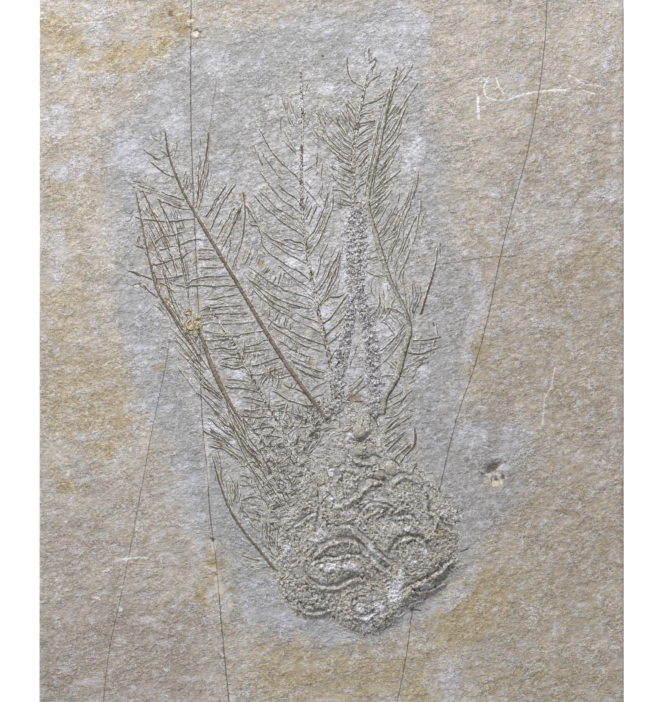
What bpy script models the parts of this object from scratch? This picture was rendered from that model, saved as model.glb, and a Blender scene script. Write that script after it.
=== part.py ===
"""Fossil feather star on a slab of lithographic limestone.

Metres, +Z up. The slab lies on z = 0 with the middle of its underside at the origin. The fossil
stands in low relief on the upper face, with its cup towards -Y and its arm tips towards +Y.
"""

import math
import random

import bmesh
import bpy
import numpy as np
from mathutils import Vector, noise
from mathutils.bvhtree import BVHTree
from mathutils.geometry import intersect_line_line_2d

MM = 0.001

# The slab: a thin plate, sawn to size, with a worn upper edge and a rougher lower one.
SLAB_WIDTH = 150 * MM
SLAB_LENGTH = 184 * MM
SLAB_THICKNESS = 12 * MM
SLAB_EDGE = 0.6 * MM
SLAB_EDGE_STEPS = (10, 12)
# Rings of its wall, from the underside up: share of the height, then inset and unevenness in mm.
SLAB_WALL = ((0.0, 1.0, 0.7), (0.2, 0.4, 0.5), (0.55, 0.25, 0.4), (0.8, 0.1, 0.15))

# Touching stones keep this distance, as thin as a film of matrix.
GAP = 0.3 * MM
RELIEF_BASE = SLAB_THICKNESS + GAP

# The cup: outline, swells (x, y, radius, rise) and hollows of its upper face, all in mm.
CUP_CENTRE = (8.5, -46.0)
CUP_OUTLINE = (
    (-2.0, -23.0), (-0.5, -18.8), (3.5, -18.2), (8.0, -18.2), (12.0, -18.8), (14.0, -23.0),
    (14.2, -28.0), (18.5, -30.0), (22.0, -31.5), (25.5, -35.5), (28.5, -39.0), (31.0, -43.0),
    (31.8, -49.0), (31.0, -55.5), (27.5, -60.5), (21.5, -63.5), (16.5, -66.0), (12.5, -70.5),
    (8.0, -72.0), (3.0, -70.0), (-0.5, -67.8), (-5.5, -68.0), (-9.0, -66.0), (-11.8, -61.5),
    (-13.2, -57.0), (-11.8, -52.0), (-9.8, -46.5), (-7.0, -41.0), (-4.8, -35.0), (-3.0, -29.0),
)
CUP_HEIGHT = 2.4
CUP_SWELLS = (
    (7.0, -21.5, 4.5, 0.5), (4.0, -30.5, 4.0, 0.5), (10.5, -33.0, 3.0, 0.4), (18.5, -36.5, 5.0, 0.8),
    (27.0, -45.5, 3.5, 0.6), (12.0, -43.5, 4.0, 0.5), (19.5, -52.5, 5.0, 0.9), (3.5, -52.0, 7.0, 0.9),
    (-5.5, -62.0, 4.0, 0.3), (8.0, -66.5, 4.5, 0.5), (0.0, -42.0, 4.5, 0.3), (20.5, -60.0, 4.0, 0.2),
    (8.0, -37.8, 2.2, -0.5), (16.5, -45.0, 2.6, -0.9), (9.5, -55.0, 2.4, -0.6), (1.5, -64.0, 2.2, -0.9),
)
CUP_SECTORS = 52
CUP_RINGS = 9
CUP_GRAIN = (0.8, 2.6)  # depth and breadth of its lumps, mm

# Arms curled up over the cup: a route from outside inwards as (x, y, width), mm.
CURLED_ARMS = {
    "curled_arm_upper_right": (
        (13.8, -37.0, 1.8), (15.2, -33.6, 2.6), (19.2, -32.4, 3.0), (23.2, -34.2, 3.0),
        (25.2, -38.2, 2.6), (23.6, -42.0, 2.2), (20.0, -42.2, 1.6),
    ),
    "curled_arm_centre": (
        (2.6, -39.2, 2.2), (6.0, -35.6, 2.8), (10.0, -36.6, 2.8), (12.2, -40.2, 2.4), (10.0, -43.6, 1.6),
    ),
    "curled_arm_right": (
        (14.6, -52.0, 1.8), (16.8, -48.6, 2.6), (20.6, -47.0, 3.0), (24.6, -48.8, 3.0),
        (26.6, -53.0, 2.8), (24.8, -57.0, 2.2), (20.8, -57.6, 1.6),
    ),
    "curled_arm_arch": (
        (-8.8, -55.8, 1.8), (-6.4, -51.4, 2.6), (-1.2, -48.6, 3.0), (4.6, -47.0, 3.2),
        (9.6, -48.6, 2.8), (12.6, -52.4, 2.0),
    ),
    "curled_arm_inner_arch": (
        (-5.0, -56.4, 1.8), (-1.4, -59.2, 2.6), (3.4, -60.0, 2.8), (8.4, -58.6, 2.6), (12.6, -59.6, 1.8),
    ),
    "curled_arm_lower_left": (
        (-10.4, -61.0, 1.6), (-7.4, -59.6, 2.2), (-4.6, -61.6, 2.2), (-5.0, -65.0, 1.8), (-8.0, -65.2, 1.4),
    ),
    "curled_arm_bottom": (
        (3.6, -66.6, 1.6), (6.4, -63.8, 2.4), (10.6, -64.2, 2.6), (12.0, -67.6, 2.2), (8.6, -69.6, 1.6),
    ),
}
CURLED_STEP = 1.6
CURLED_RISE = 0.5  # share of the width
CURLED_SHOULDER = 0.62  # share of the rise and of the half width where the flank turns over

# Outstretched arms: a route from cup to tip as (x, y, width), mm, then the pinnules of the left and
# the right side as (lean from the arm in degrees, bend towards the tip in degrees a mm, reach in mm).
ARMS = {
    "arm_long_left": {
        "route": (
            (-1.8, -16.4, 1.3), (-7.5, -9.0, 1.3), (-14.0, 0.5, 1.3), (-23.0, 15.5, 1.2),
            (-33.5, 33.0, 1.0), (-38.0, 41.0, 0.9), (-41.5, 50.0, 0.8), (-42.5, 56.5, 0.6),
        ),
        "left": (56, 0.6, 17), "right": (42, 0.8, 15),
    },
    "arm_left": {
        "route": (
            (-11.2, -41.8, 1.6), (-15.5, -36.0, 1.6), (-19.0, -27.5, 1.6), (-22.5, -19.0, 1.5),
            (-29.0, -8.5, 1.4), (-31.6, -2.0, 1.2), (-34.3, 7.5, 1.0),
        ),
        "left": (40, 0.5, 13), "right": (48, 0.5, 9),
    },
    "arm_far_left": {
        "route": (
            (-34.2, -1.0, 1.0), (-36.5, 3.0, 1.1), (-41.0, 10.0, 1.2), (-44.5, 15.5, 1.1),
            (-46.5, 23.0, 1.0), (-49.0, 35.5, 0.8), (-50.5, 42.0, 0.6),
        ),
        "left": (50, 0.4, 7), "right": (38, 0.5, 13),
    },
    "arm_inner_left": {
        "route": (
            (-6.0, -33.0, 1.2), (-10.0, -25.5, 1.2), (-14.0, -17.5, 1.1), (-18.0, -11.0, 1.0),
            (-25.5, 2.5, 0.9), (-32.0, 12.0, 0.7),
        ),
        "left": (58, 0.4, 8), "right": (48, 0.6, 8),
    },
    "arm_centre_left": {
        "route": (
            (0.2, -9.0, 1.5), (-0.5, -2.0, 1.5), (-3.5, 10.5, 1.4), (-5.0, 18.0, 1.3),
            (-7.2, 31.0, 1.2), (-7.8, 45.0, 1.0), (-7.5, 60.0, 0.8), (-8.0, 72.5, 0.6),
        ),
        "left": (58, 1.7, 17), "right": (34, 0.5, 14),
    },
    "arm_centre": {
        "route": (
            (7.8, 13.4, 2.6), (7.2, 20.0, 2.6), (6.9, 26.0, 2.8), (7.2, 32.0, 3.4), (6.4, 37.0, 2.0),
            (5.6, 44.0, 1.3), (6.0, 53.0, 1.1), (7.6, 63.0, 0.9), (9.6, 77.5, 0.6),
        ),
        "left": (44, 0.6, 11), "right": (40, 0.4, 9),
    },
    "arm_centre_left_branch": {
        "route": (
            (1.7, -16.4, 2.8), (3.0, -10.0, 2.8), (3.6, -3.0, 2.7), (4.2, 2.0, 2.5), (6.0, 12.0, 2.1),
        ),
        "left": (52, 0.8, 6), "right": (50, 0.8, 3),
    },
    "arm_centre_right_branch": {
        "route": (
            (10.4, -16.4, 2.8), (11.3, -11.5, 2.7), (11.6, -5.0, 2.6), (10.8, 1.5, 2.4), (9.2, 12.0, 2.1),
        ),
        "left": (50, 0.8, 3), "right": (40, 0.6, 6),
    },
    "arm_right": {
        "route": (
            (13.7, -14.0, 1.3), (16.0, -8.0, 1.6), (18.0, -3.0, 1.7), (20.0, 4.0, 1.5), (20.0, 7.5, 1.4),
            (15.5, 17.0, 1.2), (13.5, 23.0, 1.4), (11.2, 29.5, 1.6), (10.0, 38.5, 1.1),
            (11.0, 49.0, 1.0), (14.0, 61.5, 0.8), (17.0, 73.0, 0.6),
        ),
        "left": (50, 0.4, 5), "right": (46, -0.4, 14),
    },
    "arm_far_right": {
        "route": ((22.6, 4.2, 1.3), (23.8, 10.0, 1.0), (25.3, 17.0, 0.9), (27.5, 26.0, 0.6)),
        "left": (40, 0.0, 6), "right": (75, 0.0, 7),
    },
    "arm_lower_left": {
        "route": (
            (-15.2, -54.8, 1.4), (-18.0, -51.5, 1.4), (-22.5, -46.0, 1.3), (-26.0, -40.5, 1.1),
            (-29.5, -30.0, 0.9), (-31.0, -26.0, 0.6),
        ),
        "left": (62, 0.0, 5), "right": (40, 0.5, 6),
    },
    "arm_stub_right": {
        "route": ((16.2, -27.4, 1.2), (19.0, -24.5, 1.1), (21.0, -21.0, 0.9), (21.4, -17.5, 0.6)),
        "left": (40, 0.6, 8), "right": (45, 0.0, 4),
    },
}
PINNULE_PITCH = 2.9
PINNULE_FOOT = 0.95  # its length along the arm where it joins
PINNULE_WIDTH = 0.7
PINNULE_SHORTEST = 1.5
GROWTH_STEP = 0.5
ARM_RISE = (0.45, 0.3)  # mm, and share of the width
PINNULE_RISE = 0.55  # share of its arm's rise
CREST = 0.55  # width of a ridge's top as a share of its foot


def linear(hex_colour):
    """The linear colour of an sRGB hex value."""
    channels = [int(hex_colour[i : i + 2], 16) / 255 for i in (0, 2, 4)]
    return [c / 12.92 if c <= 0.04045 else ((c + 0.055) / 1.055) ** 2.4 for c in channels] + [1.0]


def stone(name, hex_colour, roughness):
    material = bpy.data.materials.new(name)
    material.use_nodes = True
    shader = material.node_tree.nodes["Principled BSDF"]
    shader.inputs["Base Color"].default_value = linear(hex_colour)
    shader.inputs["Roughness"].default_value = roughness
    shader.inputs["Metallic"].default_value = 0.0
    return material


def add_piece(bm, name, material, collection):
    """Makes the finished mesh into an object of its own."""
    bmesh.ops.recalc_face_normals(bm, faces=bm.faces[:])
    mesh = bpy.data.meshes.new(name)
    bm.to_mesh(mesh)
    bm.free()
    mesh.materials.append(material)
    piece = bpy.data.objects.new(name, mesh)
    collection.objects.link(piece)
    return piece


def extrude_end(bm, face):
    """Extrudes the end face of a growing solid and gives the new end. A lone face stays as its start."""
    if len(bm.faces) == 1:
        made = bmesh.ops.extrude_face_region(bm, geom=[face])["geom"]
        return next(item for item in made if isinstance(item, bmesh.types.BMFace))
    return bmesh.ops.extrude_discrete_faces(bm, faces=[face])["faces"][0]


# Slab


def make_slab(material, collection):
    """A plate built up ring by ring: a straight top edge over a wall broken a little inwards."""
    rng = random.Random(7)
    bm = bmesh.new()
    across, along = SLAB_EDGE_STEPS
    bmesh.ops.create_grid(bm, x_segments=across, y_segments=along, size=1.0)
    bmesh.ops.dissolve_faces(bm, faces=bm.faces[:])
    rings = [(z * SLAB_THICKNESS, inset * MM, rough * MM) for z, inset, rough in SLAB_WALL]
    rings += [(SLAB_THICKNESS - SLAB_EDGE, 0.0, 0.0), (SLAB_THICKNESS, SLAB_EDGE, 0.0)]
    top = bm.faces[:][0]
    full = {vert: (vert.co.x, vert.co.y) for vert in top.verts}
    for level, (z, inset, rough) in enumerate(rings):
        if level:
            places = [full[vert] for vert in top.verts]
            top = extrude_end(bm, top)
            full = dict(zip(top.verts, places))
        for vert, (u, v) in full.items():
            step_in = [inset + rng.uniform(-rough, rough) * 0.5 for _ in range(2)]
            half_width = SLAB_WIDTH / 2 - (step_in[0] if abs(u) > 0.999 else 0.0)
            half_length = SLAB_LENGTH / 2 - (step_in[1] if abs(v) > 0.999 else 0.0)
            vert.co = (u * half_width, v * half_length, z)
    return add_piece(bm, "slab", material, collection)


# Cup


def cup_reach(angle):
    """Distance in mm from the cup's centre to its outline in this direction."""
    centre = Vector(CUP_CENTRE)
    far = centre + 100 * Vector((math.cos(angle), math.sin(angle)))
    hits = []
    for start, end in zip(CUP_OUTLINE, CUP_OUTLINE[1:] + CUP_OUTLINE[:1]):
        hit = intersect_line_line_2d(centre, far, Vector(start), Vector(end))
        if hit is not None:
            hits.append((hit - centre).length)
    return max(hits)


def cup_swell(x, y):
    """Height in mm that the lumps add at this point."""
    total = CUP_HEIGHT
    for swell_x, swell_y, radius, rise in CUP_SWELLS:
        total += rise * math.exp(-((x - swell_x) ** 2 + (y - swell_y) ** 2) / radius**2)
    depth, breadth = CUP_GRAIN
    return total + depth * noise.noise(Vector((x / breadth, y / breadth, 0.0)))


def make_cup(material, collection):
    """Half a ball, spread to the cup's outline and raised into lumps."""
    bm = bmesh.new()
    bmesh.ops.create_uvsphere(bm, u_segments=CUP_SECTORS, v_segments=2 * CUP_RINGS, radius=1.0)
    cut = bm.verts[:] + bm.edges[:] + bm.faces[:]
    bmesh.ops.bisect_plane(
        bm, geom=cut, dist=1e-4, plane_co=(0, 0, 0), plane_no=(0, 0, 1), clear_inner=True
    )
    bmesh.ops.holes_fill(bm, edges=[edge for edge in bm.edges if edge.is_boundary])
    for vert in bm.verts:
        share = min(1.0, math.hypot(vert.co.x, vert.co.y))
        angle = math.atan2(vert.co.y, vert.co.x)
        reach = share * cup_reach(angle)
        x = CUP_CENTRE[0] + reach * math.cos(angle)
        y = CUP_CENTRE[1] + reach * math.sin(angle)
        rise = 0.0 if share > 0.999 else cup_swell(x, y) * (1 - share**2) ** 0.33
        vert.co = (x * MM, y * MM, RELIEF_BASE + rise * MM)
    return add_piece(bm, "cup", material, collection)


# Routes


def walk(route, distances_of):
    """Points (x, y, width) in mm along a smooth curve through the route.

    distances_of gives, for the curve's length, the distances from its start."""
    knots = np.array(route)
    ends = np.vstack([2 * knots[0] - knots[1], knots, 2 * knots[-1] - knots[-2]])
    dense = []
    for a, b, c, d in zip(ends, ends[1:], ends[2:], ends[3:]):
        for t in np.linspace(0, 1, 24, endpoint=False):
            dense.append(
                0.5 * (2 * b + (c - a) * t + (2 * a - 5 * b + 4 * c - d) * t**2
                       + (3 * b - a - 3 * c + d) * t**3)
            )
    dense = np.array(dense + [knots[-1]])
    steps = np.hypot(*np.diff(dense[:, :2], axis=0).T)
    along = np.concatenate([[0.0], np.cumsum(steps)])
    wanted = distances_of(along[-1])
    return np.column_stack([np.interp(wanted, along, dense[:, i]) for i in range(3)])


def headings(points):
    """Unit directions along a line of points."""
    ahead = np.gradient(points[:, :2], axis=0)
    return ahead / np.linalg.norm(ahead, axis=1)[:, None]


# Curled arms


class Ground:
    """The highest point of a mesh under a small patch."""

    def __init__(self, piece):
        bm = bmesh.new()
        bm.from_mesh(piece.data)
        self.tree = BVHTree.FromBMesh(bm)
        bm.free()

    def under(self, x, y, half):
        heights = [RELIEF_BASE]
        for u in (-half, -half / 2, 0, half / 2, half):
            for v in (-half, -half / 2, 0, half / 2, half):
                above = Vector(((x + u) * MM, (y + v) * MM, 0.1))
                hit = self.tree.ray_cast(above, Vector((0, 0, -1)))[0]
                if hit is not None:
                    heights.append(hit.z)
        return max(heights)


def ridge_section(x, y, heading, half_width, rise, floor):
    """Five corners across a ridge: two feet, two shoulders and a crest, in metres."""
    side = (-heading[1], heading[0])
    corners = []
    for across, up in ((1, 0), (CURLED_SHOULDER, CURLED_SHOULDER), (0, 1),
                       (-CURLED_SHOULDER, CURLED_SHOULDER), (-1, 0)):
        corners.append(
            Vector((
                (x + side[0] * across * half_width) * MM,
                (y + side[1] * across * half_width) * MM,
                floor + up * rise * MM,
            ))
        )
    return corners


def make_curled_arm(name, route, ground, material, collection):
    """A knuckled ridge, swept from a five-sided section over the cup's lumps."""
    points = walk(route, lambda length: np.linspace(0, length, max(4, round(length / CURLED_STEP))))
    ahead = headings(points)
    bm = bmesh.new()
    bmesh.ops.create_circle(bm, cap_ends=True, segments=5, radius=MM)
    end = bm.faces[:][0]
    for step, ((x, y, width), heading) in enumerate(zip(points, ahead)):
        knuckle = 1.08 if step % 2 else 0.9
        floor = ground.under(x, y, width / 2) + GAP
        corners = ridge_section(
            x, y, heading, knuckle * width / 2, knuckle * width * CURLED_RISE, floor
        )
        if step:
            end = extrude_end(bm, end)
        for vert, corner in zip(end.verts, corners):
            vert.co = corner
    return add_piece(bm, name, material, collection)


# Outstretched arms


class Pinnule:
    """A side branch: its root and its growing line of points, in mm."""

    def __init__(self, arm, station, side, root, heading, bend, reach):
        self.arm, self.station, self.side = arm, station, side
        self.line = [root]
        self.heading, self.bend, self.reach = heading, bend, reach
        self.growing = True

    def next_point(self):
        x, y = self.line[-1]
        return (
            x + GROWTH_STEP * math.cos(self.heading),
            y + GROWTH_STEP * math.sin(self.heading),
        )


def arm_stations(route):
    """Pairs of stations along an arm: each pair holds the foot of a left and a right pinnule."""

    def distances(length):
        pairs = int((length - PINNULE_FOOT) / PINNULE_PITCH)
        starts = [0.4 + PINNULE_PITCH * pair for pair in range(pairs + 1)]
        inner = [d for start in starts for d in (start, start + PINNULE_FOOT) if d < length - 0.3]
        return np.array([0.0] + inner[: len(inner) // 2 * 2] + [length])

    return walk(route, distances)


def lay_out_arms():
    """Stations and young pinnules of every arm, keyed by the arm's name."""
    stations, pinnules = {}, []
    for name, arm in ARMS.items():
        points = arm_stations(arm["route"])
        stations[name] = points
        ahead = headings(points)
        for first in range(1, len(points) - 2, 2):
            middle = (points[first] + points[first + 1]) / 2
            direction = math.atan2(*(ahead[first] + ahead[first + 1])[::-1])
            toward_tip = first / len(points)
            taper = 1.0 - 0.55 * max(0.0, (toward_tip - 0.7) / 0.3)
            for side, sign in (("left", 1), ("right", -1)):
                lean, bend, reach = arm[side]
                root = (
                    middle[0] - sign * math.sin(direction) * middle[2] / 2,
                    middle[1] + sign * math.cos(direction) * middle[2] / 2,
                )
                pinnules.append(
                    Pinnule(name, first, side, root, direction + sign * math.radians(lean),
                            -sign * math.radians(bend), reach * taper)
                )
    return stations, pinnules


def grow_pinnules(pinnules):
    """Lengthens all pinnules together, each until it nears another piece or reaches its length."""
    taken, radius, owner = [], [], []

    def occupy(x, y, half_width, whose):
        taken.append((x, y))
        radius.append(half_width)
        owner.append(whose)

    for number, arm in enumerate(ARMS.values()):
        spaced = walk(arm["route"], lambda length: np.arange(0, length, 0.4))
        for x, y, width in spaced:
            occupy(x, y, width / 2, -1 - number)
    closed = [(x, y, 0.0) for x, y in CUP_OUTLINE + CUP_OUTLINE[:1]]
    for x, y, _ in walk(closed, lambda length: np.arange(0, length, 0.4)):
        occupy(x, y, 0.5, -1 - len(ARMS))
    arm_numbers = {name: -1 - number for number, name in enumerate(ARMS)}
    clear = GAP / MM + 0.15
    longest = max(pinnule.reach for pinnule in pinnules)
    for _ in range(int(longest / GROWTH_STEP)):
        places, sizes, whose = np.array(taken), np.array(radius), np.array(owner)
        fresh = []
        for index, pinnule in enumerate(pinnules):
            if not pinnule.growing:
                continue
            x, y = pinnule.next_point()
            room = np.hypot(places[:, 0] - x, places[:, 1] - y) - sizes - PINNULE_WIDTH / 2
            root_x, root_y = pinnule.line[0]
            own = whose == index
            own |= (whose == arm_numbers[pinnule.arm]) & (
                np.hypot(places[:, 0] - root_x, places[:, 1] - root_y) < 3.0
            )
            near = fresh and min(
                math.hypot(a - x, b - y) for a, b, _ in fresh
            ) < PINNULE_WIDTH + clear
            if room[~own].min() < clear or near:
                pinnule.growing = False
                continue
            fresh.append((x, y, index))
            pinnule.line.append((x, y))
            pinnule.heading += pinnule.bend * GROWTH_STEP
            pinnule.growing = (len(pinnule.line) - 1) * GROWTH_STEP < pinnule.reach
        for x, y, index in fresh:
            occupy(x, y, PINNULE_WIDTH / 2, index)


def arm_section(x, y, heading, width, rise):
    """Four corners across an arm: left foot, left crest, right crest, right foot, in metres."""
    side = (-heading[1], heading[0])
    corners = []
    for across, up in ((1, 0), (CREST, 1), (-CREST, 1), (-1, 0)):
        corners.append(
            Vector((
                (x + side[0] * across * width / 2) * MM,
                (y + side[1] * across * width / 2) * MM,
                RELIEF_BASE + up * rise * MM,
            ))
        )
    return corners


def push_out(bm, foot, line, toward_tip, rise):
    """Extrudes a pinnule from the foot's four corners along its line, to a pointed end.

    foot lists the corners as near low, far low, far high, near high, where far is nearer the
    arm's tip."""
    face = bm.faces.get(foot)
    stops = [line[len(line) // 2], line[-1]]
    before = line[0]
    for share, (x, y) in zip((0.75, 0.0), stops):
        grown = bmesh.ops.extrude_discrete_faces(bm, faces=[face])["faces"][0]
        moved = [min(grown.verts, key=lambda v, c=corner: (v.co - c.co).length) for corner in foot]
        along = Vector((x - before[0], y - before[1])).normalized()
        across = toward_tip - toward_tip.dot(along) * along
        across.normalize()
        half = PINNULE_WIDTH / 2 * share
        for corner, (sign, up) in zip(moved, ((-1, 0), (1, 0), (CREST, 1), (-CREST, 1))):
            corner.co = (
                (x + across.x * sign * half) * MM,
                (y + across.y * sign * half) * MM,
                RELIEF_BASE + up * rise * (share or 0.3) * MM,
            )
        if not share:
            bmesh.ops.pointmerge(bm, verts=moved, merge_co=moved[0].co.lerp(moved[2].co, 0.5))
        face, foot, before = grown, moved, (x, y)


def make_arm(name, points, pinnules, material, collection):
    """A tapering ridge swept along the arm, with its pinnules pushed out of its flanks."""
    ahead = headings(points)
    bm = bmesh.new()
    bmesh.ops.create_circle(bm, cap_ends=True, segments=4, radius=MM)
    end = bm.faces[:][0]
    rings = []
    for step, ((x, y, width), heading) in enumerate(zip(points, ahead)):
        if step:
            end = extrude_end(bm, end)
        rise = ARM_RISE[0] + ARM_RISE[1] * width
        knuckle = 1.06 if step % 4 in (1, 2) else 0.94
        last = step == len(points) - 1
        corners = arm_section(
            x, y, heading, width * (0.5 if last else knuckle), rise * (0.5 if last else 1.0)
        )
        for vert, corner in zip(end.verts, corners):
            vert.co = corner
        rings.append(list(end.verts))
    for pinnule in pinnules:
        if (len(pinnule.line) - 1) * GROWTH_STEP < PINNULE_SHORTEST:
            continue
        near, far = rings[pinnule.station], rings[pinnule.station + 1]
        low, high = (0, 1) if pinnule.side == "left" else (3, 2)
        foot = [near[low], far[low], far[high], near[high]]
        toward_tip = Vector(ahead[pinnule.station])
        width = points[pinnule.station][2]
        rise = (ARM_RISE[0] + ARM_RISE[1] * min(width, 1.4)) * PINNULE_RISE
        push_out(bm, foot, pinnule.line, toward_tip, rise)
    return add_piece(bm, name, material, collection)


for old in list(bpy.data.objects):
    bpy.data.objects.remove(old, do_unlink=True)

fossil = bpy.data.collections.new("crinoid_fossil")
bpy.context.scene.collection.children.link(fossil)

limestone = stone("lithographic_limestone", "ABA59D", 0.9)
matted_calcite = stone("matted_calcite", "969089", 0.85)
grey_calcite = stone("grey_brown_calcite", "8C8478", 0.8)
rough_calcite = stone("recrystallised_calcite", "ACA9A4", 0.8)
iron_stained = stone("iron_stained_calcite", "8A7358", 0.85)
ARM_STONES = {
    "arm_far_left": iron_stained,
    "arm_left": iron_stained,
    "arm_far_right": iron_stained,
    "arm_centre_left_branch": rough_calcite,
    "arm_centre_right_branch": rough_calcite,
}

make_slab(limestone, fossil)
cup_ground = Ground(make_cup(matted_calcite, fossil))
for curled_name, curled_route in CURLED_ARMS.items():
    make_curled_arm(curled_name, curled_route, cup_ground, grey_calcite, fossil)
arm_points, young = lay_out_arms()
grow_pinnules(young)
for arm_name, arm_line in arm_points.items():
    own_pinnules = [pinnule for pinnule in young if pinnule.arm == arm_name]
    make_arm(arm_name, arm_line, own_pinnules, ARM_STONES.get(arm_name, grey_calcite), fossil)
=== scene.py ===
import math

import bpy
import numpy as np
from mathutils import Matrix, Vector, noise


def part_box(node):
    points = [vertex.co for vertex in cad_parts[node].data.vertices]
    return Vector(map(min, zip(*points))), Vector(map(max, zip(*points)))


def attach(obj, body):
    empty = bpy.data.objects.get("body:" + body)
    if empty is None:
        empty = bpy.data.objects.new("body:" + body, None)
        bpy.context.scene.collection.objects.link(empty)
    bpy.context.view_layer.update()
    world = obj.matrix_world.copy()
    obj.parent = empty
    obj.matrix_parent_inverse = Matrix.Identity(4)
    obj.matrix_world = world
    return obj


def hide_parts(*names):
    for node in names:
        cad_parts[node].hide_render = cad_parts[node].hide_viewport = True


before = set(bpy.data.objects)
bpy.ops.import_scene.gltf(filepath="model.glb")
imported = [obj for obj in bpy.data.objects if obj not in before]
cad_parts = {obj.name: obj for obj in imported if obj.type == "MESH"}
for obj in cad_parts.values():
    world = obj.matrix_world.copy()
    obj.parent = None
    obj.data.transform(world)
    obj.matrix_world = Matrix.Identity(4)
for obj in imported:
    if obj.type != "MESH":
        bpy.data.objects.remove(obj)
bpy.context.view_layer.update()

bpy.ops.object.select_all(action="DESELECT")

# ---------------------------------------------------------------------------------------------
# The slab. A plate of lithographic limestone, a lime mud so fine that it splits flat. It was
# split to a bedding plane, sawn to size, and cleaned with a needle around the fossil, which
# left a cool grey ground there. Iron from the bedding stained the rest cream and ochre.
# ---------------------------------------------------------------------------------------------

MM = 0.001
slab_low, slab_high = (Vector(corner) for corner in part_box("slab"))
FACE = slab_high.z / MM  # height of the fossil face, mm
HALF_WIDTH = slab_high.x / MM
HALF_LENGTH = slab_high.y / MM
EDGE_WEAR = 0.5  # how far the worn upper edge is rounded, mm
GRID = (258, 317)  # cells across and along the face, about 0.58 mm each


def linear(hex_colour):
    """The linear colour of an sRGB hex value."""
    channels = [int(hex_colour[i : i + 2], 16) / 255 for i in (0, 2, 4)]
    return [c / 12.92 if c <= 0.04045 else ((c + 0.055) / 1.055) ** 2.4 for c in channels] + [1.0]


def add(tree, kind, inputs=None, out=0, **settings):
    """Adds a shader node, fills or links its inputs, and gives back one of its outputs."""
    node = tree.nodes.new("ShaderNode" + kind)
    for name, setting in settings.items():
        setattr(node, name, setting)
    for socket, value in (inputs or {}).items():
        if isinstance(value, bpy.types.NodeSocket):
            tree.links.new(value, node.inputs[socket])
        else:
            node.inputs[socket].default_value = value
    return node.outputs[out]


def ripple(x, y, breadth, seed):
    """Smooth noise from -1 to 1 at points in mm, with lumps of this breadth."""
    return np.array([noise.noise(Vector((a / breadth, b / breadth, seed))) for a, b in zip(x, y)])


def bedding(x, y):
    """Height in mm of the split face above the CAD's flat one: broad, shallow and uneven."""
    along = x * 0.91 + y * 0.41
    across = (y * 0.91 - x * 0.41) * 1.25
    low = 0.16 * ripple(x, y, 26, 1.3) + 0.10 * ripple(along, across, 9, 4.1)
    low += 0.07 * ripple(along, across, 3.6, 7.7) + 0.03 * ripple(along, across, 1.9, 9.2)
    edge = np.minimum(HALF_WIDTH - np.abs(x), HALF_LENGTH - np.abs(y))
    return (low - 0.22) * np.clip(edge / 3, 0, 1)


def patches(x, y, blots):
    """How much each point lies in soft blots (x, y, half length, half breadth, turn, strength), mm."""
    cover = np.zeros_like(x)
    for blot_x, blot_y, long, broad, turn, strength in blots:
        c, s = math.cos(math.radians(turn)), math.sin(math.radians(turn))
        u = ((x - blot_x) * c + (y - blot_y) * s) / long
        v = (-(x - blot_x) * s + (y - blot_y) * c) / broad
        cover = np.maximum(cover, strength * np.clip(1.35 - (u * u + v * v) ** 0.5, 0, 0.7) / 0.7)
    return cover


def inside(x, y, outline, blur):
    """1 inside an outline of points in mm, 0 outside, fading over the blur."""
    wound = np.zeros(len(x), bool)
    near = np.full(len(x), 1e9)
    for (ax, ay), (bx, by) in zip(outline, outline[1:] + outline[:1]):
        crosses = (ay > y) != (by > y)
        reach = ax + (y - ay) * (bx - ax) / (by - ay if by != ay else 1e-9)
        wound ^= crosses & (x < reach)
        share = np.clip(((x - ax) * (bx - ax) + (y - ay) * (by - ay))
                        / ((bx - ax) ** 2 + (by - ay) ** 2), 0, 1)
        near = np.minimum(near, np.hypot(x - ax - share * (bx - ax), y - ay - share * (by - ay)))
    return np.clip(0.5 + np.where(wound, near, -near) / blur, 0, 1)


# The needled ground, the part of it that the fossil covers, then blots of iron stain, of pale
# lilac bloom and of brown shade.
NEEDLED = (
    (-38, 78), (-10, 86), (16, 90), (24, 84), (25.5, 68), (27.5, 50), (31, 32), (35, 20), (36.5, 8),
    (34, -6), (32, -16), (44, -16), (51, -22), (50, -36), (42, -46), (34, -57), (24, -67.5), (12, -75),
    (-2, -76.5), (-14, -73.5), (-24, -65), (-28, -54), (-35, -44), (-40, -36), (-43, -22), (-50, -15),
    (-52, -8), (-50, -2), (-55, 6), (-57, 16), (-54, 28), (-58, 42), (-59, 54), (-52, 64), (-46, 72),
)
CRUSTED = (
    (-50, 43), (-42, 56), (-36, 46), (-24, 42), (-20, 60), (-8, 73), (2, 66), (10, 76), (20, 72),
    (22, 52), (23, 38), (27, 24), (24, 2), (20, -20), (30, -38), (32, -52), (14, -70), (-8, -67),
    (-16, -54), (-30, -30), (-40, -6), (-48, 18),
)
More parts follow.
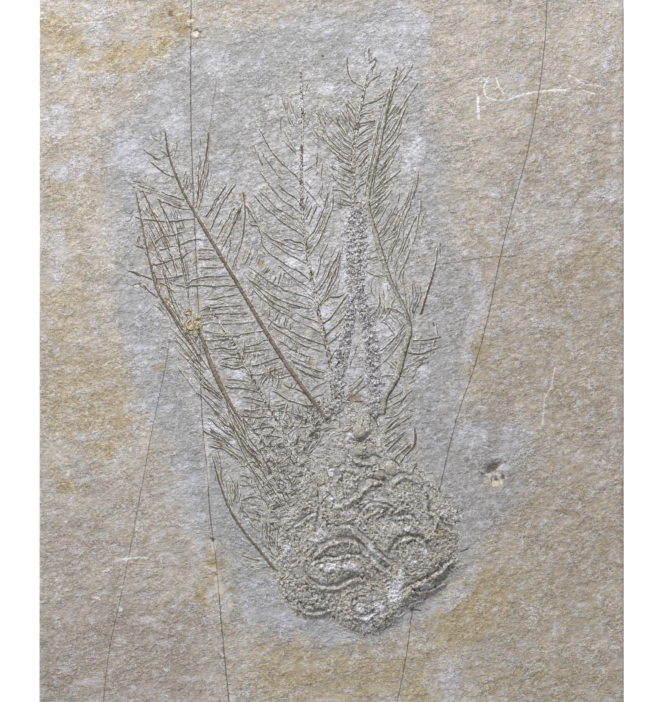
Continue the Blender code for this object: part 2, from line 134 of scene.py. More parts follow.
OCHRE = (
    (-70, 80, 7, 7, 0, 0.8), (-53, 76, 12, 3, 17, 0.8), (-44, 78, 5, 3, 20, 1.1), (-40, 85, 5, 4, -40, 0.8),
    (-68, 36, 9, 20, 10, 0.22), (-70, 8, 6, 14, 0, 0.5), (-62, -12, 15, 12, 10, 0.62),
    (-54.5, -18, 3, 3, 0, 1.0), (-58, -23, 3, 3, 0, 1.0), (-68.5, -34, 4, 2.5, -60, 1.0),
    (38, -2, 3, 8, -15, 1.0), (56, 2, 20, 28, 0, 0.3), (66, 22, 10, 7, 0, 0.55), (63, -8, 7, 6, 0, 0.5),
    (36, -66, 12, 9, 35, 1.0), (60, -55, 20, 26, 0, 0.4), (0, -82, 22, 8, 0, 0.8),
    (22, -84, 8, 8, 0, 0.7), (-30, -56, 3.5, 9, 8, 0.8), (-33, -63, 3, 3, 0, 0.9), (-16, -80, 6, 6, 0, 0.5),
    (55, -85, 24, 6, 0, 0.5), (50, 75, 8, 12, 0, 0.1), (62, 55, 10, 10, 0, 0.15),
)
BLOOM = (
    (-62, 87, 4, 2.5, 10, 0.8), (-62, 82, 3, 3, 0, 0.7), (-64.5, 73, 3, 2, 0, 0.8), (-57, 70, 3, 2.5, 0, 0.6),
    (-71, 58, 3.5, 3.5, 0, 0.9), (-67, 47.5, 5, 3, 30, 1.0), (-51.5, 51.5, 5, 4, 20, 1.0),
    (-41.5, 58, 4, 3, 0, 0.8), (-43, 66, 3, 3, 0, 0.7), (-29, 74.5, 4, 3, 0, 0.8), (-2, 83, 5, 2, 20, 0.6),
    (14, 76, 9, 8, 0, 0.7), (21, 84, 4, 4, 0, 0.7), (70.5, 75, 3, 3, 0, 0.7), (46, 68, 3, 3, 0, 0.5),
    (40, 41, 3, 1.5, 0, 0.9), (70.5, 40.5, 4, 1.6, 15, 0.7), (47.5, 35, 3, 2, 0, 0.5),
    (-59, -20.5, 3, 2, 0, 0.6), (-65, -21.5, 2, 2, 0, 0.5), (-38, -35.5, 6, 3, 35, 0.6),
    (-21, -65.5, 4, 2.5, -30, 0.7), (-12.5, -69.5, 4, 2, -20, 0.7), (-28.5, -62, 3, 4, 0, 0.6),
    (29.5, -83, 6, 5, -40, 0.8), (36, -21, 4, 3.5, 0, 0.8), (47, -23, 4, 6, 0, 0.5), (30.5, -64, 7, 2, 38, 0.9),
    (-38.5, 12, 5, 3, 0, 0.3), (-71, 25, 3, 8, 0, 0.7), (-47, -15, 6, 5, 0, 0.3), (-54, 31, 6, 3, 30, 0.5),
    (-46, 10, 9, 5, -30, 0.3), (-49, -1, 4, 6, 0, 0.6), (-30, -20, 4, 2.5, -30, 0.8), (36, 10, 1.5, 12, 0, 0.7),
    (34, -6, 2, 10, -12, 0.6), (-36, -45, 3, 16, 12, 0.45), (-10, 22, 4, 4, 0, 0.4), (-25, 40, 8, 8, 0, 0.4),
    (54, 33, 13, 8, 10, 0.42), (48, 8, 8, 6, 0, 0.3),
    (4, -71.5, 9, 3, 6, 0.6), (-16, -62, 4, 5, -30, 0.35), (22, -62, 6, 4, 40, 0.4),
)
SHADE = (
    (-56, -82, 26, 22, 0, 0.75), (-70, -60, 12, 26, 0, 0.35), (62, -80, 24, 20, 0, 0.3),
    (-41, 86, 3, 2, -60, 0.8), (-37, 82, 3, 2, -20, 0.8), (52, -25, 3, 2, 0, 0.4), (-45, -45, 9, 9, 0, 0.2),
    (60, 0, 26, 70, 0, 0.5),
)

FROSTED = (
    (-9.8, 22.4, 2.2, 1.8, 0, 0.9), (-4.2, 30.5, 3, 1.6, 60, 0.9), (-33.7, 28.5, 1, 2.6, 0, 0.8),
    (-28.1, 26.4, 1.2, 1.2, 0, 0.7), (-1.9, 9.7, 1.5, 2.8, 0, 0.9), (-1.4, 67.4, 2.2, 1.6, 0, 0.8),
    (20.9, 50.8, 2, 5, -20, 0.8), (8.1, 57.2, 1.2, 1.7, 0, 0.9), (-2.9, 36.7, 2, 2.2, 0, 0.9),
    (13.7, 15.9, 1.2, 2.8, 0, 0.9), (21.4, -4.6, 3.2, 1.2, -10, 0.9), (-24.2, -5.4, 2, 1.4, 0, 0.9),
    (-25, -14.1, 2, 1.5, 0, 1), (-28.6, -20.5, 3.4, 1.5, 20, 0.8), (-15.2, -26.6, 1.8, 1.4, 0, 0.9),
    (-12.5, -35.6, 1.8, 2.3, 20, 0.9), (-12.2, -50.8, 0.9, 2, 0, 0.9), (-10.6, -22.8, 1.2, 1.2, 0, 0.8),
    (1.2, 47.4, 1.4, 1.4, 0, 0.8), (-19, -21.8, 1.3, 1.1, 0, 0.8), (-31.2, -19.6, 1.4, 1.1, 0, 0.9),
    (-7.2, 14.9, 1.1, 1.2, 0, 0.8), (-24, -13.8, 2.4, 0.9, 12, 0.9), (-40, 33, 1.2, 6, 12, 0.5),
    (5.8, 24, 4.6, 13, 0, 0.65), (2.6, -4, 3.2, 11, -8, 0.65), (10.8, -4, 3.2, 11, 4, 0.65), (15, 6, 2.4, 4, 0, 0.7),
    (-6.5, 42, 2.4, 12, 4, 0.65), (-3.4, 14, 3, 10, 14, 0.65), (-13, -18, 2, 6, 40, 0.6),
)

CHIP = ((41.4, -29.9, 2.4, 1.2, 32, 1.0), (41.4, -31.9, 2.2, 1.6, 0, 0.6), (41.8, -33.6, 1.6, 1.0, 0, 0.5))

bpy.ops.mesh.primitive_grid_add(x_subdivisions=GRID[0], y_subdivisions=GRID[1], size=1)
slab = bpy.context.object
slab.name = slab.data.name = "limestone_slab"
slab.scale = ((HALF_WIDTH - EDGE_WEAR) * 2 * MM, (HALF_LENGTH - EDGE_WEAR) * 2 * MM, 1)
slab.location.z = FACE * MM
bpy.ops.object.transform_apply(location=True, rotation=False, scale=True)

# The rounded edge and the sawn wall, extruded ring by ring from the rim of the face.
WALL = ((0.18, 0.32), (0.5, 0.18), (2.5, 0.0), (4.5, 0.0), (6.5, -0.1), (9.0, -0.25), (FACE, -0.6))
bpy.ops.object.mode_set(mode="EDIT")
bpy.ops.mesh.select_all(action="SELECT")
bpy.ops.mesh.region_to_loop()
wall_top, ring_half = 0.0, (HALF_WIDTH - EDGE_WEAR, HALF_LENGTH - EDGE_WEAR)
for depth, spread in WALL:
    bpy.ops.mesh.extrude_edges_move(TRANSFORM_OT_translate={"value": (0, 0, (wall_top - depth) * MM)})
    wider = tuple(half + spread for half in ring_half)
    bpy.ops.transform.resize(
        value=(wider[0] / ring_half[0], wider[1] / ring_half[1], 1), center_override=(0, 0, 0)
    )
    wall_top, ring_half = depth, wider
bpy.ops.mesh.edge_face_add()
bpy.ops.mesh.select_all(action="SELECT")
bpy.ops.mesh.normals_make_consistent(inside=False)
bpy.ops.object.mode_set(mode="OBJECT")

points = np.empty(len(slab.data.vertices) * 3)
slab.data.vertices.foreach_get("co", points)
points = points.reshape(-1, 3)
x, y, z = points.T / MM
on_face = z > FACE - 0.01
hollow = 0.55 * patches(x[on_face], y[on_face], CHIP)
points[on_face, 2] += (bedding(x[on_face], y[on_face]) - hollow) * MM
wall = ~on_face & (z < FACE - 0.6) & (z > 0.01)
chips = 0.22 * ripple(x[wall] + y[wall], z[wall] * 2.0, 2.2, 5.0) - 0.25
turn = np.sign(x[wall]) * (np.abs(x[wall]) > HALF_WIDTH - 1.5)
points[wall, 0] += turn * chips * MM
turn = np.sign(y[wall]) * (np.abs(y[wall]) > HALF_LENGTH - 1.5)
points[wall, 1] += turn * chips * MM
slab.data.vertices.foreach_set("co", points.ravel())

# Edges of the stains wander, so each is laid out on points pushed about by noise.
wander_x = x + 3.4 * ripple(x, y, 11, 2.0) + 1.6 * ripple(x, y, 3.2, 3.0)
wander_y = y + 3.4 * ripple(x, y, 11, 12.0) + 1.6 * ripple(x, y, 3.2, 13.0)
STAINS = {
    "needled": inside(wander_x, wander_y, NEEDLED, 9.0),
    "crusted": inside(x + (wander_x - x) / 3, y + (wander_y - y) / 3, CRUSTED, 5.0),
    "ochre": patches(wander_x, wander_y, OCHRE),
    "bloom": patches(wander_x, wander_y, BLOOM),
    "shade": patches(wander_x, wander_y, SHADE),
    "frosted": patches(x + 0.25 * (wander_x - x), y + 0.25 * (wander_y - y), FROSTED),
}
for stain, amount in STAINS.items():
    layer = slab.data.attributes.new(stain, "FLOAT", "POINT")
    layer.data.foreach_set("value", amount.astype(np.float32))
slab.data.shade_smooth()
slab.data.set_sharp_from_angle(angle=math.radians(50))

# Lithographic limestone: matt, chalky and close-grained. The eye gets a sandy sparkle from the
# split grains, in a mottle of pinkish, greenish and bluish greys a few mm across.
PINK_BEIGE, GREEN_GREY, PALE_CREAM = linear("938882"), linear("8B8980"), linear("A09A92")
OCHRE_STAIN, NEEDLED_GREY, LILAC_BLOOM = linear("8F7F5C"), linear("838487"), linear("A7A8B2")
BROWN_SHADE, PIT = linear("7C7268"), linear("4A443D")

limestone = bpy.data.materials.new("split_lithographic_limestone")
limestone.use_nodes = True
tree = limestone.node_tree
shader = tree.nodes["Principled BSDF"]
in_mm = add(tree, "Mapping", {"Vector": add(tree, "TexCoord", out="Object"), "Scale": (1000, 1000, 1000)})
drawn = add(tree, "Mapping", {"Vector": in_mm, "Rotation": (0, 0, math.radians(14)),
                              "Scale": (1.2, 0.88, 1.0)}, vector_type="TEXTURE")
clouds = add(tree, "TexNoise", {"Vector": in_mm, "Scale": 0.13, "Detail": 5.0, "Roughness": 0.6})
mottle = add(tree, "TexNoise", {"Vector": in_mm, "Scale": 0.33, "Detail": 4.0, "Roughness": 0.65}, out=1)
ledges = add(tree, "TexNoise", {"Vector": drawn, "Scale": 0.45, "Detail": 3.0, "Roughness": 0.6})
grains = add(tree, "TexNoise", {"Vector": drawn, "Scale": 1.3, "Detail": 3.0, "Roughness": 0.7})
specks = add(tree, "TexNoise", {"Vector": in_mm, "Scale": 3.0, "Detail": 2.0, "Roughness": 0.8})
smooth = add(tree, "MapRange", {"Value": add(tree, "TexNoise", {"Vector": in_mm, "Scale": 0.2, "Detail": 2.0}),
                                "From Min": 0.35, "From Max": 0.65, "To Min": 0.45, "To Max": 1.45})
stain = {name: add(tree, "Attribute", out="Fac", attribute_name=name) for name in STAINS}


def layer_on(tree, under, over, amount, strength=1.0):
    """One colour laid over another, as thick as the amount says."""
    thick = add(tree, "Math", {0: amount, 1: strength}, operation="MULTIPLY", use_clamp=True)
    return add(tree, "Mix", {0: thick, 6: under, 7: over}, out=2, data_type="RGBA")


def ragged(tree, amount, grain, reach=2.2, softness=0.35):
    """A soft-edged stain broken up by the grain, so that it ends in crumbs and not in a blur."""
    shifted = add(tree, "Math", {0: grain, 1: reach, 2: -0.5 * reach - 0.5}, operation="MULTIPLY_ADD")
    shifted = add(tree, "Math", {0: shifted, 1: amount}, operation="ADD")
    return add(tree, "MapRange", {"Value": shifted, "From Min": -softness, "From Max": softness})


red, green, blue = (add(tree, "SeparateColor", {"Color": mottle}, out=i) for i in range(3))
patchy = add(tree, "MapRange", {"Value": red, "From Min": 0.38, "From Max": 0.62})
pale = add(tree, "MapRange", {"Value": clouds, "From Min": 0.42, "From Max": 0.66})
ochre = ragged(tree, stain["ochre"], green, 2.6, 0.5)
frost = ragged(tree, stain["bloom"], blue, 2.6, 0.55)
faint_frost = add(tree, "MapRange", {"Value": blue, "From Min": 0.55, "From Max": 0.72})
colour = layer_on(tree, PINK_BEIGE, GREEN_GREY, patchy)
colour = layer_on(tree, colour, PALE_CREAM, pale)
colour = layer_on(tree, colour, OCHRE_STAIN, stain["ochre"], 0.35)
colour = layer_on(tree, colour, OCHRE_STAIN, ochre, 0.6)
colour = layer_on(tree, colour, NEEDLED_GREY, ragged(tree, stain["needled"], green, 1.6, 0.3), 0.8)
colour = layer_on(tree, colour, BROWN_SHADE, stain["shade"], 0.7)
colour = layer_on(tree, colour, LILAC_BLOOM, faint_frost, 0.45)
colour = layer_on(tree, colour, LILAC_BLOOM, frost, 0.6)

# Single grains: white ones, and pits where one has dropped out, painted dark as the shade in them.
# The ground between the arms, which the needle could not reach, keeps a coarser and more broken tone.
white_cell = add(tree, "TexVoronoi", {"Vector": in_mm, "Scale": 0.75})
pit_cell = add(tree, "TexVoronoi", {"Vector": add(tree, "Mapping", {"Vector": in_mm, "Location": (7, 3, 1)}),
                                    "Scale": 0.62})
white_grain = add(tree, "MapRange", {"Value": white_cell, "From Min": 0.2, "From Max": 0.08})
pit = add(tree, "MapRange", {"Value": pit_cell, "From Min": 0.2, "From Max": 0.06})
colour = layer_on(tree, colour, linear("C9C4BA"), white_grain, 0.3)
# Painted shade in the pits.
colour = layer_on(tree, colour, PIT, pit, 0.4)
broken = add(tree, "MapRange", {"Value": grains, "From Min": 0.35, "From Max": 0.65,
                                "To Min": 0.0, "To Max": 1.0})
ground = layer_on(tree, linear("7F786D"), linear("C2C0BC"), broken)
colour = layer_on(tree, colour, ground, stain["crusted"], 0.2)
for tint, wave, strength in ((linear("93856F"), red, 0.4), (linear("B4B5C2"), green, 0.35)):
    patch = add(tree, "MapRange", {"Value": wave, "From Min": 0.52, "From Max": 0.68})
    patch = add(tree, "Math", {0: patch, 1: stain["crusted"]}, operation="MULTIPLY")
    colour = layer_on(tree, colour, tint, patch, strength)
colour = layer_on(tree, colour, linear("BBBCC8"), ragged(tree, stain["frosted"], grains, 2.4, 0.5), 0.6)
grit = add(tree, "MapRange", {"Value": specks, "From Min": 0.25, "From Max": 0.75,
                              "To Min": -0.37, "To Max": 0.37})
tone = add(tree, "MapRange", {"Value": grains, "From Min": 0.25, "From Max": 0.75,
                              "To Min": -0.2, "To Max": 0.2})
grit = add(tree, "Math", {0: grit, 1: tone}, operation="ADD")
grit = add(tree, "Math", {0: grit, 1: smooth, 2: 1.0}, operation="MULTIPLY_ADD")
colour = add(tree, "VectorMath", {0: colour, "Scale": grit}, operation="SCALE")

# Hairline cracks run down the slab, and a few scratches were left by the needle: lines of (x, y)
# points, with a width and the colour seen in them.
NEEDLE_SCRATCH = linear("C6C6CA")
CRACKS = (
    ("x", 0.24, PIT, 0.8, ((-36, 92), (-36, 90), (-36, 58), (-35.5, 42), (-34.8, 26), (-33.8, 3), (-33.1, -18),
                            (-31.9, -31), (-31.1, -42), (-29.4, -56), (-28.3, -69), (-26.3, -90))),
    ("x", 0.24, PIT, 0.65, ((55.3, 92), (54.5, 77), (51, 54), (46.5, 37), (44, 27), (40, 8), (36.4, -5),
                            (32.4, -16.5), (29, -30), (26, -44), (20.4, -69), (19.7, -75), (16.8, -90))),
    ("x", 0.22, linear("5B5348"), 0.5, ((-41.6, 3), (-42.2, -2), (-43.8, -10), (-45.3, -17), (-48.3, -33),
                                        (-52.2, -54), (-54.2, -64), (-57, -77), (-58.4, -90))),
    ("x", 0.3, linear("7E7160"), 0.5, ((-29.4, 69), (-30.9, 59), (-32, 47), (-33.4, 40))),
    ("y", 0.2, linear("5F574B"), 0.45, ((27, 22.3), (31, 22.6), (35.5, 23.3), (42.7, 24.1), (48, 24.4))),
    ("x", 0.5, NEEDLE_SCRATCH, 0.85, ((40.6, 70.8), (39.6, 69), (39.1, 66.9), (39.9, 65))),
    ("y", 0.5, NEEDLE_SCRATCH, 0.8, ((39.6, 65.2), (41.4, 64.6), (43.2, 64.2), (45.1, 64.3), (47, 65.1), (49.4, 65.8),
                                      (52.4, 66.4), (56, 66.8), (60.1, 66.9))),
    ("x", 0.45, NEEDLE_SCRATCH, 0.75, ((42.2, 70), (42.7, 68.5), (43.2, 67.4), (44.2, 66))),
    ("x", 0.75, NEEDLE_SCRATCH, 0.8, ((37.5, 66), (37.6, 62.5), (37.8, 59.2))),
    ("y", 0.5, NEEDLE_SCRATCH, 0.6, ((60.8, 70.6), (62, 70.2), (63.9, 69), (66.4, 68.2), (68.6, 68), (70.8, 66.9))),
    ("y", 0.45, NEEDLE_SCRATCH, 0.65, ((64.4, 66.8), (67.6, 65.9))),
    ("y", 0.3, NEEDLE_SCRATCH, 0.4, ((35.5, 54.7), (40.3, 55.2))),
    ("y", 0.3, NEEDLE_SCRATCH, 0.6, ((-70.6, 83.6), (-62, 84.2), (-56, 84.6))),
    ("x", 0.45, NEEDLE_SCRATCH, 0.45, ((57.9, -2), (57, -5.8), (56.2, -9.4), (54.8, -12), (54.4, -15.5), (54, -19))),
    ("y", 0.5, NEEDLE_SCRATCH, 0.6, ((-55, -53.8), (-52, -53.2), (-49, -52.8))),
)
SPAN = 200  # mm that a crack's curve covers, more than the slab


def line_across(tree, run, line, width):
    """1 on a thin line that wanders across the slab, given as points along x or y, 0 off it."""
    axis = 1 if run == "x" else 0
    place = add(tree, "SeparateXYZ", {"Vector": in_mm}, out=axis)
    other = add(tree, "SeparateXYZ", {"Vector": in_mm}, out=1 - axis)
    share = add(tree, "Math", {0: place, 1: 1 / SPAN, 2: 0.5}, operation="MULTIPLY_ADD")
    course = add(tree, "FloatCurve", {"Value": share})
    curve = course.node.mapping.curves[0]
    stops = sorted((p[axis] / SPAN + 0.5, p[1 - axis] / SPAN + 0.5) for p in line)
    for _ in stops[2:]:
        curve.points.new(0.5, 0.5)
    for point, stop in zip(curve.points, stops):
        point.location = stop
    course.node.mapping.update()
    course = add(tree, "Math", {0: course, 1: SPAN, 2: -0.5 * SPAN}, operation="MULTIPLY_ADD")
    jog = add(tree, "Math", {0: specks, 1: 0.4, 2: course}, operation="MULTIPLY_ADD")
    jog = add(tree, "Math", {0: grains, 1: 0.5, 2: jog}, operation="MULTIPLY_ADD")
    away = add(tree, "Math", {0: other, 1: jog}, operation="SUBTRACT")
    away = add(tree, "Math", {0: away, 1: -0.45}, operation="SUBTRACT")
    away = add(tree, "Math", {0: away}, operation="ABSOLUTE")
    on_line = add(tree, "MapRange", {"Value": away, "From Min": width * 0.6, "From Max": width * 0.3})
    within = add(tree, "Math", {0: place, 1: (stops[0][0] + stops[-1][0] - 1) / 2 * SPAN,
                                2: (stops[-1][0] - stops[0][0]) / 2 * SPAN}, operation="COMPARE")
    return add(tree, "Math", {0: on_line, 1: within}, operation="MULTIPLY")


gaps = 0.0
dashes = add(tree, "MapRange", {"Value": grains, "From Min": 0.4, "From Max": 0.52, "To Min": 0.35})
for run, width, tint, strength, line in CRACKS:
    on_line = line_across(tree, run, line, width)
    if tint == NEEDLE_SCRATCH:
        on_line = add(tree, "Math", {0: on_line, 1: dashes}, operation="MULTIPLY")
    else:
        gaps = add(tree, "Math", {0: gaps, 1: on_line}, operation="MAXIMUM")
    colour = layer_on(tree, colour, tint, on_line, strength)

# Small marks with ragged edges: the chip with painted shade in its hollow and cream flakes, iron
# around the cracks, the crust that filled one of them, black dots, and white crystals between the arms.
MARKS = (
    # The first mark: painted shade in the chip's hollow and around it.
    ("4C4338", 0.85, (41.3, -29.9, 2.1, 0.85, 34), (44.2, -28.6, 0.9, 0.16, 35), (46, -31.8, 1.1, 0.14, 14),
     (38.5, -31.3, 0.9, 0.14, 5), (41, -33.3, 0.2, 1.1, 0), (42.1, -33, 0.5, 0.26, 0), (44, -32.3, 0.45, 0.5, 0)),
    ("A9A9B0", 0.75, (44.4, -29.9, 1.5, 0.85, 0),),
    ("BFB498", 0.9, (41.9, -34, 1.0, 0.6, 0), (43.5, -33.6, 0.3, 0.6, 0)),
    ("A3967F", 0.8, (40, -33.1, 0.85, 0.75, 0),),
    ("B9B1AA", 0.9, (40.3, -31.8, 0.7, 0.42, 0), (42.6, -31.7, 0.85, 0.45, 0)),
    ("3F3A34", 0.8, (-2.4, 75.6, 0.35, 0.3, 0), (11.4, 74.6, 0.35, 0.3, 0), (-30.6, -48.2, 0.6, 0.5, 0),
     (-29.6, -56.9, 0.3, 0.3, 0), (26.3, 6.9, 0.5, 0.5, 0), (-34.8, 2.8, 0.5, 0.6, 0), (40.2, 14.4, 0.2, 0.2, 0)),
    ("5C4B38", 0.75, (-37.1, 82.9, 0.9, 0.35, 20), (-34, 82, 0.8, 0.3, -25), (-41.3, 86.6, 0.5, 0.9, 30)),
    ("CBBFB5", 0.7, (-35, 81.4, 0.9, 0.6, 0), (-36.3, 84.6, 1.0, 0.35, 0)),
    ("877148", 0.45, (-38, 82.4, 1.6, 1.2, 0), (-30.9, -54.1, 1.2, 1.1, 0), (-28.9, -54.6, 1.2, 1.1, 0),
     (-28.3, -59, 0.8, 0.8, 0), (-33.7, -63.3, 1.2, 1.1, 0), (-25.5, -61, 0.8, 0.7, 0), (-34.6, 12.3, 0.6, 1.7, 0),
     (-34.9, 23.5, 0.35, 2.6, 0), (51.8, 61.8, 1.0, 1.6, 0), (49, 51.3, 0.7, 1.0, 0), (-44.5, -4.2, 1.4, 0.8, 0)),
    ("C2BEB4", 0.45, (-32.1, -24, 0.5, 3.6, 4), (-31.8, -32, 0.5, 3.6, -4), (-30.3, -50.4, 0.5, 1.5, 10),
     (-28.9, -59.9, 1.1, 2.4, 10), (-29.9, -56.2, 1.3, 0.5, -30), (-26, -64.7, 0.6, 1.0, 0), (-25.6, -88.6, 0.6, 1.4, 0)),
    ("C9C8CA", 0.65, (-52.4, -53.3, 1.1, 0.35, 12), (-53.7, -60.4, 0.6, 0.25, 20), (-54.2, -66.2, 0.4, 0.7, 20),
     (-60.4, -63.4, 0.9, 0.3, -15), (-57.8, -56.3, 1.0, 0.25, 25), (-42.3, -81.8, 0.7, 0.4, 0), (-49, -53, 1.6, 0.25, 5)),
    ("B4B4BC", 0.32, (-62.5, -84.6, 3.6, 0.9, 8), (-68, -82, 1.6, 0.8, 0), (-47.5, -69, 1.6, 1.0, 0), (-66, -51, 1.2, 1.0, 0)),
    ("7D6A4C", 0.6, (-22.8, 39.5, 1.0, 1.2, 0), (-46.5, 27, 1.4, 1.2, 0), (-44.5, 17, 1.2, 1.5, 0),
     (-18.3, 22.6, 1.0, 0.8, 0), (-47, 22.5, 1.6, 0.6, 0), (-42.5, 13, 1.0, 0.8, 0), (5, -12, 2.0, 1.0, 0)),
    ("8E9099", 0.5, (-40.5, 33, 1.2, 5.5, 12), (-38.6, 26, 1.0, 4, 10)),
)
nudge = add(tree, "TexNoise", {"Vector": in_mm, "Scale": 1.3, "Detail": 3.0, "Roughness": 0.7}, out=1)
nudge = add(tree, "VectorMath", {0: nudge, 1: (0.5, 0.5, 0.5)}, operation="SUBTRACT")
nudged = add(tree, "VectorMath", {0: nudge, 1: (1.6, 1.6, 0), 2: in_mm}, operation="MULTIPLY_ADD")
for tint, strength, *spots in MARKS:
    marked = 0.0
    for spot_x, spot_y, long, broad, turn in spots:
        away = add(tree, "Mapping", {"Vector": nudged, "Location": (spot_x, spot_y, 0), "Scale": (long, broad, 1000),
                                     "Rotation": (0, 0, math.radians(turn))}, vector_type="TEXTURE")
        away = add(tree, "VectorMath", {0: away}, out=1, operation="LENGTH")
        spot = add(tree, "MapRange", {"Value": away, "From Min": 1.25, "From Max": 0.8})
        marked = add(tree, "Math", {0: marked, 1: spot}, operation="MAXIMUM")
    colour = layer_on(tree, colour, linear(tint), marked, strength)
tree.links.new(colour, shader.inputs["Base Color"])

# Heights in mm: flakes of about 2 mm with broken edges, grains under 1 mm, fine tooth, pits and
# cracks. The tooth is fainter where the mud was finer.
flakes = add(tree, "MapRange", {"Value": ledges, "From Min": 0.44, "From Max": 0.56})
height = add(tree, "Math", {0: ledges, 1: 0.34}, operation="MULTIPLY")
height = add(tree, "Math", {0: flakes, 1: 0.06, 2: height}, operation="MULTIPLY_ADD")
tooth = add(tree, "Math", {0: grains, 1: 0.22}, operation="MULTIPLY")
tooth = add(tree, "Math", {0: specks, 1: 0.10, 2: tooth}, operation="MULTIPLY_ADD")
height = add(tree, "Math", {0: tooth, 1: smooth, 2: height}, operation="MULTIPLY_ADD")
height = add(tree, "Math", {0: pit, 1: -0.05, 2: height}, operation="MULTIPLY_ADD")
rougher = add(tree, "Math", {0: stain["crusted"], 1: 0.15, 2: 1.0}, operation="MULTIPLY_ADD")
height = add(tree, "Math", {0: height, 1: rougher}, operation="MULTIPLY")
height = add(tree, "Math", {0: gaps, 1: -0.12, 2: height}, operation="MULTIPLY_ADD")
tree.links.new(add(tree, "Bump", {"Height": height, "Strength": 1.0, "Distance": MM}),
               shader.inputs["Normal"])
shader.inputs["Roughness"].default_value = 0.9
shader.inputs["Specular IOR Level"].default_value = 0.25
slab.data.materials.append(limestone)
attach(slab, "root")
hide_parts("slab")

# ---------------------------------------------------------------------------------------------
# The arms. Each is a long chain of small calcite plates with a row of thin side branches, the
# pinnules, down both sides. They were pressed flat into the mud and stand a little proud of
# the split face, half of their thickness still in the stone.
# ---------------------------------------------------------------------------------------------

STEP = 0.5  # mm between the points of a pinnule
SPINE_STEP = 0.25  # mm between the points of an arm's main stem
BEAD = 1.05  # mm between the plates of a stem
HIGHLIGHT_GAP = 0.27  # mm from a pinnule to the pale line of painted highlight along its lit upper side
TOWARDS_LIGHT = (-0.35, 0.94)  # the way that those painted highlights face, towards the light
BROKEN = 3  # loose broken bits for each pinnule


def traced(points, step):
    """A smooth curve through the points, read off at even steps in mm."""
    stops = np.array(points, float)
    stops = np.vstack([2 * stops[0] - stops[1], stops, 2 * stops[-1] - stops[-2]])
    fine = [0.5 * (2 * b + (c - a) * t + (2 * a - 5 * b + 4 * c - d) * t**2 + (3 * b - a - 3 * c + d) * t**3)
            for a, b, c, d in zip(stops, stops[1:], stops[2:], stops[3:])
            for t in np.linspace(0, 1, 12, endpoint=False)]
    fine = np.array(fine + [stops[-2]])
    run = np.concatenate([[0], np.cumsum(np.hypot(*np.diff(fine[:, :2], axis=0).T))])
    at = np.linspace(0, run[-1], max(2, round(run[-1] / step) + 1))
    return np.column_stack([np.interp(at, run, column) for column in fine.T])


def broken_bits(lines, count, rng):
    """Short pieces of the same pinnules, shifted and turned a little, as they fell apart."""
    bits = []
    for _ in range(count if lines else 0):
        line = lines[rng.integers(len(lines))]
        start = rng.integers(0, max(1, len(line) - 4))
        bit = line[start : start + rng.integers(3, 9)]
        if len(bit) < 3:
            continue
        turn = rng.normal(0, math.radians(9))
        spin = np.array(((math.cos(turn), math.sin(turn)), (-math.sin(turn), math.cos(turn))))
        bits.append((bit - bit[0]) @ spin + bit[0] + rng.normal(0, 1, 2))
    return bits


def lay_spline(curve, line, radius, lift, material=1):
    """One tube laid on the split face along a line of (x, y) points."""
    spline = curve.splines.new("POLY")
    spline.material_index = material
    spline.points.add(len(line) - 1)
    height = FACE + bedding(line[:, 0], line[:, 1]) + lift
    spline.points.foreach_set("co", np.column_stack([line[:, :2], height, np.ones(len(line)) / MM]).ravel() * MM)
    spline.points.foreach_set("radius", radius)


def settle(name, curve, grain):
    """Turns a curve of tubes into a mesh of closed bodies, its stems roughened by the grain in mm."""
    piece = bpy.data.objects.new(name, curve)
    bpy.context.scene.collection.objects.link(piece)
    bpy.ops.object.select_all(action="DESELECT")
    piece.select_set(True)
    bpy.context.view_layer.objects.active = piece
    bpy.ops.object.convert(target="MESH")
    piece = bpy.context.object
    bpy.ops.object.mode_set(mode="EDIT")
    bpy.ops.mesh.select_all(action="SELECT")
    bpy.ops.mesh.remove_doubles(threshold=0.002 * MM)
    bpy.ops.mesh.normals_make_consistent(inside=False)
    bpy.ops.object.mode_set(mode="OBJECT")
    mesh = piece.data
    rough = np.full(len(mesh.vertices), 0.02)
    for face in mesh.polygons:
        if face.material_index == 0:
            rough[list(face.vertices)] = grain
    for vertex, shift in zip(mesh.vertices, rough * MM):
        at = vertex.co / MM
        vertex.co += (noise.noise_vector(at * 1.6) + 0.5 * noise.noise_vector(at * 3.7)) * shift
    piece.data.shade_smooth()
    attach(piece, "root")
    return piece


def new_tubes(name, *materials):
    """An empty curve whose splines become tubes of these materials, with radii in mm."""
    curve = bpy.data.curves.new(name, "CURVE")
    for material in materials:
        curve.materials.append(material)
    curve.dimensions, curve.use_fill_caps = "3D", True
    curve.bevel_depth, curve.bevel_resolution = MM, 1
    return curve


def beside(line, gap):
    """A line moved over by the gap in mm, towards the upper side of the slab."""
    run = np.gradient(line[:, :2], axis=0)
    side = np.column_stack([-run[:, 1], run[:, 0]]) / np.hypot(*run.T)[:, None]
    return line[:, :2] + gap * side * np.sign((side @ TOWARDS_LIGHT).sum())


def lay_pinnule(curve, row, material, rng):
    """A pinnule along row (half thickness, x, y, x, y ...) in mm, thin at its tip."""
    line = traced(np.reshape(row[1:], (-1, 2)), STEP)
    count = len(line)
    line += rng.normal(0, 0.03, (count, 2))
    along = np.linspace(0, 1, count)
    taper = np.interp(along, (0, 0.15, 0.8, 1), (0.7, 1, 0.95, 0.5)) * rng.uniform(0.65, 1.25, count)
    lift = 0.03 + 0.05 * np.sin(np.arange(count) * rng.uniform(0.3, 1) + rng.uniform(0, 6))
    lay_spline(curve, line, 0.82 * row[0] * taper, lift, material)
    return line


def lay_dashes(curve, line, radius, materials, rng, longest=8, lift=0.05):
    """A broken line of short tubes along a line of points, each of one of the materials."""
    at = 0
    while at < len(line) - 3:
        end = at + rng.integers(2, longest + 1)
        dash = line[at : end + 1]
        lay_spline(curve, dash, radius * rng.uniform(0.7, 1.2, len(dash)), lift, rng.choice(materials))
        at = end + rng.integers(0, 3)


